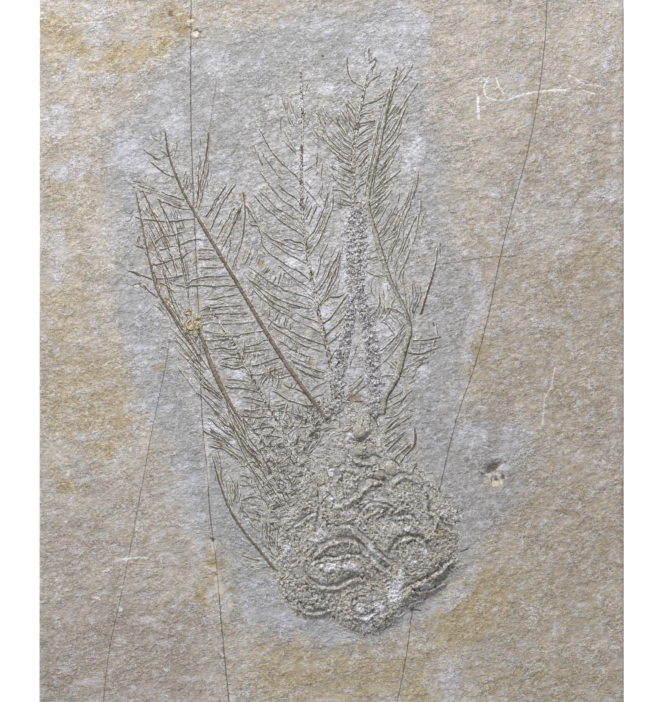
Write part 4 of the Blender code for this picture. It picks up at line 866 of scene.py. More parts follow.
     (),
     ()),
    ("arm_centre", ROPE_STEM, "grey_calcite", 0.12,
     ((7.8, 13.4, 1.4), (7.2, 20, 1.4), (6.9, 26, 1.4), (6.4, 32, 1.3), (5.9, 37, 1.2), (5.6, 44, 1.1), (5.7, 53, 1),
      (7.6, 63, 0.8), (9.4, 72, 0.4)),
     (
         (0.17, 4.2, 75.4, 4, 73.6, 4.2, 71.8, 4.7, 70.3, 5.5, 69, 8.6, 67.4),
         (0.13, 9.6, 77.7, 9.6, 75.9, 9.9, 74.1), (0.13, 12.7, 70.8, 11.2, 70, 9.9, 69, 9.1, 67.7),
         (0.1, 11.4, 74.1, 10.9, 73.1, 10.1, 72.1), (0.17, 13.5, 65.4, 11.9, 64.4, 9.1, 63.3, 7.8, 62.6),
         (0.13, 10.9, 61.5, 9.9, 61, 8.3, 60.8, 7.3, 60), (0.17, 11.2, 59, 8.3, 58.5, 7.3, 58.2, 6.8, 56.9),
         (0.13, 10.6, 57.7, 7.8, 55.9, 6.5, 54.6), (0.17, 10.1, 54.4, 7.6, 53.1, 6.5, 52.1),
         (0.13, 9.4, 52.1, 7.8, 51, 6.3, 48.7), (0.13, 9.6, 50.5, 6.8, 46.9),
         (0.1, 10.1, 47.2, 9.4, 46.4, 8.1, 45.6, 7.1, 44.4),
         (0.17, 10.4, 45.4, 9.4, 44.4, 8.6, 43.1, 7.3, 42.3, 6, 40.8), (0.13, 10.4, 42.8, 8.3, 40.3),
         (0.1, 4, 64.4, 6.3, 61.5), (0.13, 4.2, 63.1, 5.3, 61.5, 6.5, 58.5),
         (0.13, 2.4, 61.8, 4, 59.2, 5.8, 56.7, 6, 55.1), (0.13, 1.2, 60, 1.7, 58.5, 3.7, 55.6, 5, 54.4),
         (0.13, 1.7, 56.7, 2.7, 55.1, 3.7, 54.1, 5.3, 53.1), (0.13, -0.1, 56.2, 2.4, 53.6, 5.3, 51.5),
         (0.13, -1.2, 55.4, -0.1, 53.8, 2.4, 51.5, 5.5, 49.5),
         (0.13, -1.4, 53.8, -0.4, 52.6, 2.7, 50, 5.5, 47.9), (0.17, 1.4, 50, 3.5, 48.2, 5.5, 47.4),
         (0.17, 1.9, 47.7, 3.2, 46.7, 4.7, 46.2, 6, 45.6), (0.13, -0.6, 47.4, 5.8, 43.8),
         (0.1, -0.4, 45.4, 1.4, 44.4, 4.7, 43.1), (0.1, -2.4, 62.8, -1.4, 61.3, 1.2, 58.2),
         (0.1, -2.2, 62.3, -1.7, 61, -0.6, 59.7), (0.1, -4, 61.3, -3.2, 60, -2.7, 58.7, -1.7, 57.2),
         (0.1, -3.5, 58.2, -2.4, 56.7, -1.2, 55.4), (0.1, -1.2, 52.3, -0.1, 51.3, 2.9, 49.2),
         (0.13, -0.1, 41.3, 2.9, 41, 5.3, 38.5), (0.13, 1.7, 37.9, 3.2, 37.4, 5.3, 37.2),
         (0.1, 2.4, 39, 5.3, 37.7), (0.13, 4.7, 36.4, 5.5, 35.1), (0.13, 7.6, 37.9, 6.5, 38.2, 5.8, 37.4),
         (0.1, 8.1, 36.9, 7.6, 35.6, 6.3, 35.1),
         (0.1, -1.7, 47.4, -0.1, 45.6, 1.2, 43.6, 2.7, 42.1, 4.5, 41), (0.1, 1.4, 43.3, 4.7, 41.8),
         (0.1, -2.9, 59, -2.7, 57.7, -1.9, 55.9), (0.1, -5.3, 54.6, -4.2, 53.3, -2.9, 52.1),
         (0.1, -4.5, 56.7, -2.2, 53.8), (0.1, 0.4, 52.6, 2.4, 51), (0.1, 3.5, 63.6, 4.2, 61.8, 4.5, 60),
         (0.1, 4.5, 61.3, 4.5, 59.7, 4.7, 57.9),
     ),
     (),
     ()),
    ("arm_right", OLIVE_STEM, "grey_calcite", 0.1,
     ((13.2, -16, 1.2), (13.7, -12, 1.4), (15.2, -9.5, 1.4), (17, -6, 1.6), (18.6, 0, 1.5), (20, 5, 1.2), (19, 10, 1),
      (15.5, 17, 1.1), (13.2, 23, 1.5), (11.6, 28.5, 1.5), (9.4, 37.5, 0.9), (10.4, 45, 0.75), (12.2, 52, 0.7),
      (14, 61.5, 0.5), (16.8, 73, 0.3)),
     (
         (0.12, 17.6, 71, 14.1, 60, 10.2, 40), (0.1, 16, 70, 12.6, 60, 8.6, 40),
         (0.12, 14.9, 62, 13.3, 56, 11.2, 45, 10.6, 39.5), (0.1, 12.4, 58, 11, 52, 8.7, 41),
         (0.1, 20.9, 73.6, 20.1, 71.8, 19.1, 70.5, 17.3, 67.9, 16, 66.7),
         (0.1, 18.8, 70.5, 18.1, 69.2, 15.8, 66.2), (0.12, 22.2, 68.7, 19.1, 64.1, 18.3, 62.6, 16, 59.7),
         (0.1, 20.1, 65.6, 17.6, 61.3), (0.12, 19.6, 62.8, 18.6, 61.3, 16.3, 56.2, 12.9, 52.1),
         (0.1, 18.6, 61, 17.8, 59, 16, 55.9), (0.1, 16.8, 63.3, 15.5, 61.5, 13.5, 58.2),
         (0.1, 16.3, 60.8, 14.2, 58.2, 13.5, 56.9), (0.1, 17.6, 60, 16.5, 58.5, 14.5, 55.1, 13.5, 54.1),
         (0.12, 18.1, 56.2, 12.4, 49.2), (0.12, 15.5, 64.4, 14, 63.3, 12.4, 62.6),
         (0.1, 12.2, 59.5, 11.9, 57.7, 10.4, 52.6),
         (0.1, 17.6, 53.1, 16.5, 51.5, 14.2, 48.7, 13.5, 47.4, 12.2, 46.2, 10.9, 44.6),
         (0.1, 16, 49.2, 15, 47.4, 12.7, 44.9, 11.4, 43.8), (0.1, 14.5, 49.2, 11.7, 45.9),
         (0.12, 17.8, 46.4, 16.5, 45.1, 12.9, 42.3, 10.6, 40.3), (0.1, 14, 45.1, 11.9, 42.3, 10.6, 40.8),
         (0.1, 14.2, 43.1, 12.7, 41.3, 10.1, 38.7),
         (0.12, 15.5, 41.3, 14.5, 39.7, 12.2, 37.7, 11.2, 36.7, 9.9, 35.9),
         (0.1, 14.5, 41.3, 13.2, 39.7, 10.1, 37.2), (0.1, 13.2, 41.8, 10.6, 39.2), (0.1, 15, 38.2, 10.9, 31),
         (0.12, 12.7, 37.2, 9.9, 32.6), (0.1, 11.9, 37.7, 11.2, 36.2, 10.1, 34.9),
         (0.1, 16.5, 37.2, 15.8, 35.4, 14.7, 33.8, 13.2, 31.3, 12.2, 30, 11.4, 28.7),
         (0.12, 17.3, 36.2, 15.5, 32.8, 13.5, 30, 12.4, 29),
         (0.1, 18.3, 33.1, 17.6, 31.3, 16.5, 29.7, 15.3, 28.7, 14, 28.2, 12.9, 26.9),
         (0.1, 17.6, 35.4, 16, 31.5, 15, 29.7), (0.1, 18.1, 33.1, 17.6, 31.3, 17.1, 29.2, 14.7, 24.1),
         (0.12, 22.2, 46.2, 22.2, 43.8, 21.2, 40.3, 20.4, 38.2, 19.9, 36.4, 18.6, 33.1, 18.3, 29),
         (0.1, 20.9, 42.6, 19.9, 38.7, 18.3, 35.4, 18.1, 33.3), (0.1, 19.9, 40.5, 19.4, 38.7, 18.3, 36.9),
         (0.1, 22.9, 38.7, 22.9, 36.4, 22.4, 34.4, 22.2, 32.6, 21.4, 28.7, 20.6, 26.7),
         (0.12, 21.9, 34.6, 20.9, 32.6, 19.4, 29, 18.1, 25.6, 17.3, 24.4, 16.8, 22.8, 16, 21.5),
         (0.1, 18.6, 31.3, 18.3, 27.7, 16.8, 24.1), (0.12, 20.4, 26.4, 18.8, 22.1, 17.6, 19.7, 17.1, 17.9),
         (0.1, 20.1, 29, 19.4, 26.9, 18.3, 24.9, 17.6, 22.8),
         (0.1, 18.6, 20.5, 18.3, 18.5, 18.6, 16.7, 19.4, 11.3),
         (0.1, 19.6, 15.9, 20.1, 11.8, 20.1, 10, 20.4, 7.9),
         (0.12, 22.7, 16.7, 22.9, 15.1, 22.9, 13.6, 21.4, 10.3, 20.9, 8.5),
         (0.1, 20.6, 17.4, 20.9, 15.1, 20.9, 10.3), (0.1, 16.3, 28.5, 15.3, 26.4, 14.7, 24.4, 14.5, 22.6),
         (0.1, 15, 26.9, 14.7, 25.1, 14.2, 23.3), (0.1, 17.1, 22.3, 16.5, 20.3, 16.5, 18.2, 17.1, 16.4),
         (0.12, 14.2, 11, 16.3, 10.5, 19.6, 8.7), (0.1, 15, 9.7, 17.1, 7.7, 18.1, 6.4),
         (0.12, 13.2, 7.4, 14.2, 6.7, 16, 4.4),
         (0.1, 16.3, 13.3, 15.5, 12.1, 15.3, 10.8, 13.7, 8.2, 12.9, 7.2),
         (0.12, 12.4, 13.3, 12.2, 11.5, 11.4, 10.3, 9.6, 8.5), (0.1, 13.2, 15.9, 13.5, 13.8, 13.5, 10),
         (0.12, 18.8, 6.9, 15.8, 2.8, 14.5, 1.5), (0.1, 20.4, 6.2, 19.1, 4.6, 17.3, 1.8),
         (0.1, 17.6, 2.1, 15, -1.3, 12.4, -3.8), (0.12, 18.1, 5.1, 13.7, 0.8, 12.4, 0),
         (0.12, 17.1, -6.2, 15.5, -6.4, 14, -6.4, 12.4, -6.9), (0.1, 16.3, -4.9, 14.2, -2.8, 13.5, -2.6),
         (0.1, 23.5, -1.8, 20.9, -3.3, 19.4, -4.4, 17.8, -5.1),
         (0.1, 23.5, -2.8, 22.4, -3.8, 21.4, -4.9, 19.9, -5.6),
         (0.1, 20.1, -4.4, 19.4, -5.9, 18.6, -6.7, 17.3, -6.4),
         (0.12, 20.6, -10.3, 19.6, -11, 18.6, -12.1, 17.3, -13.1, 15.8, -13.8, 14, -14.9),
         (0.1, 21.4, -12.1, 18.3, -15.1, 17.3, -16.2, 16, -16.9),
         (0.1, 18.1, -15.4, 16.8, -16.4, 15.5, -16.9, 14, -17.2, 12.2, -17.9),
         (0.1, 18.3, -10.3, 17.1, -11.3, 14.5, -12.6), (0.1, 10.4, 17.9, 10.1, 16.2, 10.6, 14.6, 11.4, 13.6),
         (0.1, 11.7, 24.1, 10.4, 23.8, 9.4, 23.3), (0.1, 9.1, 20.3, 10.4, 19.5, 12.2, 19),
     ),
     (),
     ()),
    ("arm_far_right", RUSTY_THREAD, "iron_stained_calcite", 0.03,
     ((22.9, 9.5, 0.52), (24.2, 14, 0.39), (25.8, 19, 0.33), (26.8, 23, 0.2)),
     (
         (0.17, 20.9, 2.6, 24.5, 2.8, 28.1, 3.6), (0.17, 19.6, -0.5, 22.7, -0.8, 25.8, 0.3, 28.1, 1),
         (0.13, 22.7, 2.1, 22.7, 0), (0.1, 26.3, -0.5, 26.3, 1.5, 26.8, 3.3), (0.1, 24, -1.5, 21.7, -2.8),
         (0.1, 27.3, 3.6, 26.8, 7.4),
     ),
     (
         (0.12, 27.3, 26.4, 26.8, 22.3),
     ),
     ()),
    ("arm_lower_left", SMOOTH_STEM, "grey_calcite", 0.05,
     ((-11, -58, 0.6), (-14.2, -56, 0.83), (-18, -51.5, 0.75), (-22.5, -46, 0.71), (-26, -40.5, 0.64), (-28.5, -34, 0.45),
      (-30, -29, 0.3)),
     (
         (0.17, -30.4, -27.9, -29.6, -30.5, -29.1, -33.1),
         (0.13, -29.1, -25.9, -28.6, -27.9, -28.3, -30.5, -28.3, -32.8, -28.1, -34.9),
         (0.1, -26, -34.6, -26, -37.4, -26.3, -39), (0.1, -25, -33.8, -24.7, -36.2, -25, -38.5),
         (0.1, -24.2, -33.3, -24, -35.9, -24, -39), (0.1, -21.2, -43.6, -19.6, -45.6, -18.3, -46.4),
         (0.1, -17.6, -41.3, -17.8, -47.9, -17.6, -49.7), (0.1, -23.2, -38.2, -22.9, -40.5, -23.5, -42.3),
         (0.1, -22.7, -40.8, -20.4, -43.3), (0.1, -27.3, -33.3, -25.3, -39.5),
         (0.1, -15.8, -45.4, -16, -47.4, -15.8, -49.5), (0.1, -16.8, -45.6, -16.5, -47.7, -16.8, -49.7),
         (0.1, -15, -45.9, -15.3, -47.9, -15, -50),
         (0.1, -13.7, -43.6, -13.7, -46.2, -14, -48.7, -13.7, -51.5), (0.1, -19.6, -40.3, -17.8, -43.6),
         (0.1, -17.8, -34.6, -18.3, -36.2, -17.8, -37.9),
     ),
     (),
     (
         (0.13, -29.1, -47.9, -28.3, -48.7, -27.3, -50, -25.3, -51.8, -24.2, -53.1),
         (0.17, -24, -51.5, -22.7, -52.3, -19.6, -53.3, -17.6, -53.6),
         (0.13, -21.7, -54.6, -19.6, -54.9, -17.8, -54.6, -15.5, -55.4), (0.13, -18.8, -56.2, -14.7, -56.2),
         (0.13, -23.2, -48.2, -20.6, -49.5), (0.13, -21.2, -42.8, -17.6, -43.3),
         (0.1, -15.5, -59.5, -13.2, -60.8), (0.1, -20.9, -56.4, -17.8, -54.9),
     )),
    ("arm_stub_right", THREAD, "grey_calcite", 0.03,
     ((20.6, -24.8, 0.22), (21.3, -23.5, 0.52), (21.4, -21.5, 0.52), (21.1, -19.5, 0.22)),
     (
         (0.17, 19.9, -17.2, 16.8, -19.2, 14, -20.8, 12.9, -22.1),
         (0.17, 17.3, -17.2, 16, -18.2, 13.7, -20.5, 12.7, -21.8),
         (0.17, 18.8, -20.8, 16.5, -22.6, 14, -24.1, 13.5, -25.1), (0.17, 18.6, -21.3, 14, -25.9),
         (0.17, 20.6, -23.8, 17.8, -26.2, 16.8, -26.9, 16, -28.2),
         (0.17, 21.4, -24.4, 20.1, -25.6, 18.1, -27.9, 17.6, -29.2),
         (0.1, 20.9, -16.4, 19.6, -17.2, 18.1, -17.9), (0.1, 16.3, -20.8, 15, -21.8, 14, -22.8),
     ),
     (),
     ()),
)
for seed, (name, stem, slot, grain, route, rows, rusty, pale) in enumerate(ARMS):
    grow_arm(name, stem, route, grain, rows, rusty, pale, seed)

# ---------------------------------------------------------------------------------------------
# The crushed stems. The two branches under the middle arm, and the arm's own foot, were squashed
# and have grown into rough white crystals, so no single plate can be told from the next.
# ---------------------------------------------------------------------------------------------


def closed_plate(name, cells, size):
    """A flat grid with its rim drawn down and closed, as a start for a lump of relief."""
    bpy.ops.object.select_all(action="DESELECT")
    bpy.ops.mesh.primitive_grid_add(x_subdivisions=cells[0], y_subdivisions=cells[1], size=1)
    plate = bpy.context.object
    plate.name = plate.data.name = name
    plate.scale = (size[0] * MM, size[1] * MM, 1)
    plate.location.z = FACE * MM
    bpy.ops.object.transform_apply(location=True, rotation=False, scale=True)
    bpy.ops.object.mode_set(mode="EDIT")
    bpy.ops.mesh.select_all(action="SELECT")
    bpy.ops.mesh.region_to_loop()
    bpy.ops.mesh.extrude_edges_move(TRANSFORM_OT_translate={"value": (0, 0, -1.5 * MM)})
    bpy.ops.mesh.edge_face_add()
    bpy.ops.mesh.select_all(action="SELECT")
    bpy.ops.mesh.normals_make_consistent(inside=False)
    bpy.ops.object.mode_set(mode="OBJECT")
    return plate


CRYSTAL = 0.07  # how far single grains of calcite stand out, mm


def shards(x, y, seed, coarse=0.42):
    """Rough relief from 0 to 1 with thin sharp crests, the finest under half a mm apart."""
    x, y = x + 0.3 * ripple(x, y, 0.9, seed + 1), y + 0.3 * ripple(x, y, 0.9, seed + 2)
    crests = [1 - 2.4 * np.abs(ripple(x, y, breadth, seed + breadth)) for breadth in (1.5, 0.8, 0.42)]
    return np.clip(coarse * crests[0] + 0.34 * crests[1] + (0.66 - coarse) * crests[2], 0, 1)


def crushed_stem(name, route, height, seed):
    """A strip of crystals along a route of (x, y, width) points in mm."""
    line = traced(route, 0.2)
    across = 34
    strip = closed_plate(name, (len(line) - 1, across), (len(line) - 1, across))
    points = np.empty(len(strip.data.vertices) * 3)
    strip.data.vertices.foreach_get("co", points)
    points = points.reshape(-1, 3) / MM
    station = np.clip(np.round(points[:, 0] + (len(line) - 1) / 2), 0, len(line) - 1).astype(int)
    offset = points[:, 1] / (across / 2)
    heading = np.gradient(line[:, :2], axis=0)
    heading /= np.hypot(*heading.T)[:, None]
    ragged = 1 + 0.5 * ripple(line[station, 0], line[station, 1] + 3 * np.sign(offset), 1.2, seed + 20)
    half = line[station, 2] / 2 * ragged * np.clip(np.minimum(station, len(line) - 1 - station) / 8, 0.2, 1)
    x = line[station, 0] - heading[station, 1] * offset * half
    y = line[station, 1] + heading[station, 0] * offset * half
    top = points[:, 2] > FACE - 0.5
    body = np.clip(1 - offset**2, 0, 1) ** 0.5
    relief = bedding(x, y) - 0.25 + body * (0.2 + height * shards(x, y, seed))
    relief += CRYSTAL * body * np.random.default_rng(seed).normal(0, 1, len(x))
    points = np.column_stack([x, y, np.where(top, FACE + relief, FACE - 1.2)]) * MM
    strip.data.vertices.foreach_set("co", points.ravel())
    strip.data.shade_smooth()
    strip.data.materials.append(CRUSHED_CALCITE)
    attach(strip, "root")
    return strip


for name, route, seed in (
    ("arm_centre_left_branch", ((1.2, -16.4, 4.2), (1.6, -10, 4.2), (2.6, -2.3, 4), (4.4, 6, 3.4),
                                (5.2, 13, 3)), 1),
    ("arm_centre_right_branch", ((11.2, -17.6, 4.6), (11.1, -11.5, 4.8), (10.6, -2.3, 4.4), (9.4, 6, 4.2),
                                 (8, 13, 3.2)), 2),
):
    stem = crushed_stem(name, route, 0.8, seed)
    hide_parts(name)
foot = crushed_stem("arm_centre_foot", ((6.8, 11.4, 4.6), (6.4, 18, 5.6), (6.2, 26, 6), (6.4, 31, 6.2),
                                        (6.3, 36, 4.2), (6, 39.5, 1.8)), 0.8, 3)
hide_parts("arm_centre")

# ---------------------------------------------------------------------------------------------
# The crown's middle: the cup with the bases of all the arms, a few more arms rolled in on
# themselves, and a mat of crushed pinnules, grown together into one rough lump of calcite.
# ---------------------------------------------------------------------------------------------

CUP_CELL = 0.2  # mm
CREASE = 0.36  # half width of the crease at the foot of a ledge, mm
CUP_OUTLINE = (
    (-3.5, -25), (-1.5, -20), (0.6, -16), (4, -13.6), (8, -12.8), (12, -14), (14.4, -18), (13.6, -23),
    (14.6, -27.6), (18.5, -29.4), (22.5, -31), (25.8, -34.6), (27.8, -38.4), (31, -41.6), (32, -48),
    (31.6, -54.5), (27.8, -60), (21.5, -63.5), (17, -68), (12.5, -71.4), (8, -72.2), (3, -70), (-0.5, -67.6),
    (-5.5, -68.2), (-9.5, -66.4), (-12.8, -62.6), (-14.6, -57), (-14, -51), (-12.6, -45.5), (-11.6, -40),
    (-9, -34), (-6, -29),
)
# Ledges: lines of (x, y) points whose left side stands above their right side by the drop, over
# the breadth. Both ends die away.
LEDGES = (
    (1.3, 0.75, ((25.6, -43), (25.1, -40.3), (24.7, -37.4), (23.7, -35.1), (22.2, -33.1), (20.1, -32.1),
                 (17.6, -32.3), (15.6, -33.8), (14.6, -36))),
    (1.6, 0.9, ((15.4, -37.2), (14.5, -34.9), (12.9, -33.3), (10.9, -33.3), (8.8, -34.6), (6.8, -36.7),
                (4.7, -38.2), (2.4, -39.5), (0.6, -39.6))),
    (0.7, 0.5, ((15.8, -41), (14.5, -39.7), (11.9, -39.1), (9.4, -39.7), (7.8, -41), (6.8, -42.8))),
    (0.9, 0.7, ((23.2, -46.6), (22.7, -45.4), (21.4, -43.6), (19.6, -42.3), (17.1, -42.6), (14.4, -42.4))),
    (1.3, 0.75, ((25.9, -53.4), (25.3, -51.8), (24.5, -50.3), (23.2, -48.7), (21.7, -47.7), (19.6, -47.7),
                 (17.6, -48.5), (16.3, -49.7), (15.5, -51.5), (15.6, -53.2))),
    (1.2, 0.8, ((16, -54.6), (14, -53.6), (12.4, -52.1), (10.4, -50.3), (8.3, -48.5), (6.3, -46.4), (4.2, -44.9),
                (1.8, -45.1))),
    (1.3, 0.8, ((17, -58.4), (13.7, -56.2), (11.2, -54.4), (9.4, -52.6), (8.1, -50.8), (6.5, -49.2), (4.7, -48.5),
                (2.2, -48.5), (-0.4, -49.2), (-2.9, -50.8), (-5, -53.4))),
    (0.8, 0.5, ((8.9, -54), (6.8, -52.6), (4.2, -52.3), (0.9, -53.1), (-2.9, -53.4), (-5.4, -55))),
    (1.4, 0.8, ((9.2, -58.6), (5.6, -58.4), (3.2, -59.6), (0.1, -60.6), (-2.9, -60.4), (-6, -59), (-7, -56.6))),
    (1.0, 0.7, ((0.4, -65.4), (-1.6, -66.6), (-4.4, -67.2), (-7.4, -66.2), (-9.2, -64.2))),
    (0.8, 0.6, ((11.4, -66.8), (8.6, -68.4), (6, -67.4), (5.4, -64.6), (6.4, -62.8))),
    (1.1, 0.8, ((31.6, -52.6), (30.4, -54.1), (27.8, -56.2), (24, -58.7), (20.1, -60.5), (17.6, -62))),
    (0.8, 0.6, ((30, -58), (27, -60.6), (23.4, -61.6), (19.6, -61.6), (17, -64))),
    (0.8, 0.6, ((-8.6, -53.6), (-10, -55), (-11.6, -54.6), (-12.4, -52.6))),
    (0.8, 0.6, ((-3.9, -41.4), (-7.3, -43.4), (-9.9, -45.6))),
    (0.7, 0.6, ((-4.6, -47), (-3.6, -42), (-3.4, -35))),
    (1.2, 0.8, ((12.9, -30.4), (11.6, -28), (8.8, -28.6), (6.3, -27.8), (4.7, -25.9), (2.6, -23))),
    (0.9, 0.6, ((8, -31.2), (4.7, -30.3), (2.6, -30), (1.6, -31.8), (0.9, -34.6))),
    (1.0, 0.7, ((10.4, -21.4), (8.3, -22.4), (6, -21.9), (4.4, -20.4))),
    (0.8, 0.6, ((2.6, -20), (2.1, -17), (2.4, -13.8))),
    (0.8, 0.7, ((31, -46.4), (28.6, -44.6), (27.6, -42.6))),
)
# Broad swells and hollows (x, y, half length, half breadth, turn, rise), and rolled arms seen as
# fine rings (x, y, radius).
SWELLS = (
    (20, -38, 5, 5, 0, 0.6), (20.5, -53, 6, 5, 0, 0.9), (3.7, -56, 8, 2.8, 6, 0.9), (8, -67, 5, 4, 0, 0.8),
    (-6, -62.5, 5, 3.5, 0, 0.3), (7.3, -20.3, 2.6, 2.2, 0, 1.2), (7.8, -25.6, 2.4, 2.2, 0, 0.7),
    (11.9, -31, 1.7, 1.6, 0, 0.7), (27, -46, 4.5, 4, 0, 0.8), (23, -60, 8, 3, 35, 0.8), (3, -45, 6, 5, 0, 0.4),
    (14, -43.6, 3.6, 1.7, 0, -1.3), (15.6, -54.8, 2.2, 1.6, 0, -0.9), (4.7, -58.6, 1.8, 1.5, 0, -0.7),
    (9.1, -59, 1.3, 1.2, 0, -0.6), (8.3, -22.6, 1.8, 0.9, 0, -0.7), (-9, -58, 3, 3, 0, 0.3),
)
COILS = ((20.1, -37.4, 4.4), (20.4, -52, 4.8), (5.3, -32.6, 2.3), (7.8, -25.7, 2.0), (8.4, -66.4, 3.6),
         (-6, -62, 3.4), (11.2, -44.4, 4.2), (3.4, -56, 3.0))


def from_line(x, y, line):
    """Distance in mm from a line of points, above zero on its left, and the share along it."""
    near, side, share = np.full(len(x), 1e9), np.ones(len(x)), np.zeros(len(x))
    for i, ((ax, ay), (bx, by)) in enumerate(zip(line, line[1:])):
        run_x, run_y = bx - ax, by - ay
        t = np.clip(((x - ax) * run_x + (y - ay) * run_y) / (run_x**2 + run_y**2), 0, 1)
        away = np.hypot(x - ax - t * run_x, y - ay - t * run_y)
        closer = away < near
        near[closer] = away[closer]
        side[closer] = np.sign(run_x * (y - ay) - run_y * (x - ax))[closer]
        share[closer] = ((i + t) / (len(line) - 1))[closer]
    return near * side, share


def crown_relief(x, y):
    """Height in mm of the lump above the split face, with its creases and its rough grain, 0 to 1."""
    bend_x = x + 0.4 * ripple(x, y, 2.2, 31)
    bend_y = y + 0.4 * ripple(x, y, 2.2, 32)
    rim = inside(bend_x + 0.8 * ripple(x, y, 3.5, 33), bend_y + 0.8 * ripple(x, y, 3.5, 34), CUP_OUTLINE, 3.4)
    down_right = ((x - 8) * 0.6 - (y + 44) * 0.8) / 25
    height = np.clip(0.55 + 0.55 * down_right, 0.1, 1.3) * rim - 0.15
    for swell_x, swell_y, long, broad, turn, rise in SWELLS:
        c, s = math.cos(math.radians(turn)), math.sin(math.radians(turn))
        u = ((bend_x - swell_x) * c + (bend_y - swell_y) * s) / long
        v = (-(bend_x - swell_x) * s + (bend_y - swell_y) * c) / broad
        height = height + 0.8 * rise * np.exp(-1.2 * (u * u + v * v))
    crease = np.zeros(len(x))
    near, along = np.full(len(x), 1e9), np.zeros(len(x))
    for drop, breadth, line in LEDGES:
        away, share = from_line(bend_x, bend_y, [tuple(p) for p in traced(line, 0.8)])
        t = away / (0.62 * breadth)
        ends = np.clip(np.minimum(share, 1 - share) * 7, 0, 1)
        height = height + 0.5 * drop * ends * 1.65 * t * np.exp(-t * t / 2)
        # The crease at each ledge's foot is carved into the relief and also painted dark as shade through the dark
        # layer, spread wider over the low side.
        deep = np.where(away < 0, away / 2.2, away) / CREASE
        crease = np.maximum(crease, ends * min(1, drop) * np.exp(-(deep**2)))
        closer = np.abs(away) < np.abs(near)
        near[closer] = away[closer]
        along[closer] = (share * 1.2 * len(line))[closer] + 20 * drop
    for coil_x, coil_y, radius in COILS:
        away = np.hypot(bend_x - coil_x, bend_y - coil_y)
        height = height + 0.06 * np.cos(away * 2 * math.pi / 0.9) * np.clip((radius - away) / 1.2, 0, 1)
    near += 0.3 * ripple(x, y, 0.8, 53)
    folds = 1 - 2.2 * np.abs(ripple(along / 1.1, near / 0.42, 1, 51))
    rough = np.clip(0.8 + 1.0 * ripple(x, y, 4.5, 52), 0.3, 1.15)
    grain = 0.85 * shards(x, y, 40, 0.06) + 0.15 * np.clip(folds, 0, 1)
    grain = np.clip(grain * np.clip(0.95 + 0.9 * ripple(x, y, 0.9, 54), 0.4, 1.4), 0, 1)
    grain = 0.3 + (grain - 0.3) * rough
    return height + rim * (0.62 * (grain - 0.3) - 0.3 * crease), crease, grain


cup_x = [p[0] for p in CUP_OUTLINE]
cup_y = [p[1] for p in CUP_OUTLINE]
cup_size = (max(cup_x) - min(cup_x) + 3, max(cup_y) - min(cup_y) + 3)
cup_middle = ((max(cup_x) + min(cup_x)) / 2, (max(cup_y) + min(cup_y)) / 2)
bpy.ops.object.select_all(action="DESELECT")
bpy.ops.mesh.primitive_grid_add(
    x_subdivisions=round(cup_size[0] / CUP_CELL), y_subdivisions=round(cup_size[1] / CUP_CELL), size=1
)
cup = bpy.context.object
cup.name = cup.data.name = "cup_and_rolled_arms"
cup.scale = (cup_size[0] * MM, cup_size[1] * MM, 1)
cup.location = (cup_middle[0] * MM, cup_middle[1] * MM, FACE * MM)
bpy.ops.object.transform_apply(location=True, rotation=False, scale=True)
points = np.empty(len(cup.data.vertices) * 3)
cup.data.vertices.foreach_get("co", points)
x, y, z = points.reshape(-1, 3).T / MM
beyond = inside(x, y, CUP_OUTLINE, 4.4) <= 0
bpy.ops.object.mode_set(mode="EDIT")
bpy.ops.mesh.select_all(action="DESELECT")
bpy.ops.object.mode_set(mode="OBJECT")
cup.data.vertices.foreach_set("select", beyond)
bpy.ops.object.mode_set(mode="EDIT")
bpy.ops.mesh.delete(type="VERT")
bpy.ops.mesh.select_all(action="SELECT")
bpy.ops.mesh.region_to_loop()
bpy.ops.mesh.extrude_edges_move(TRANSFORM_OT_translate={"value": (0, 0, -1.5 * MM)})
bpy.ops.mesh.edge_face_add()
bpy.ops.mesh.select_all(action="SELECT")
bpy.ops.mesh.normals_make_consistent(inside=False)
bpy.ops.object.mode_set(mode="OBJECT")

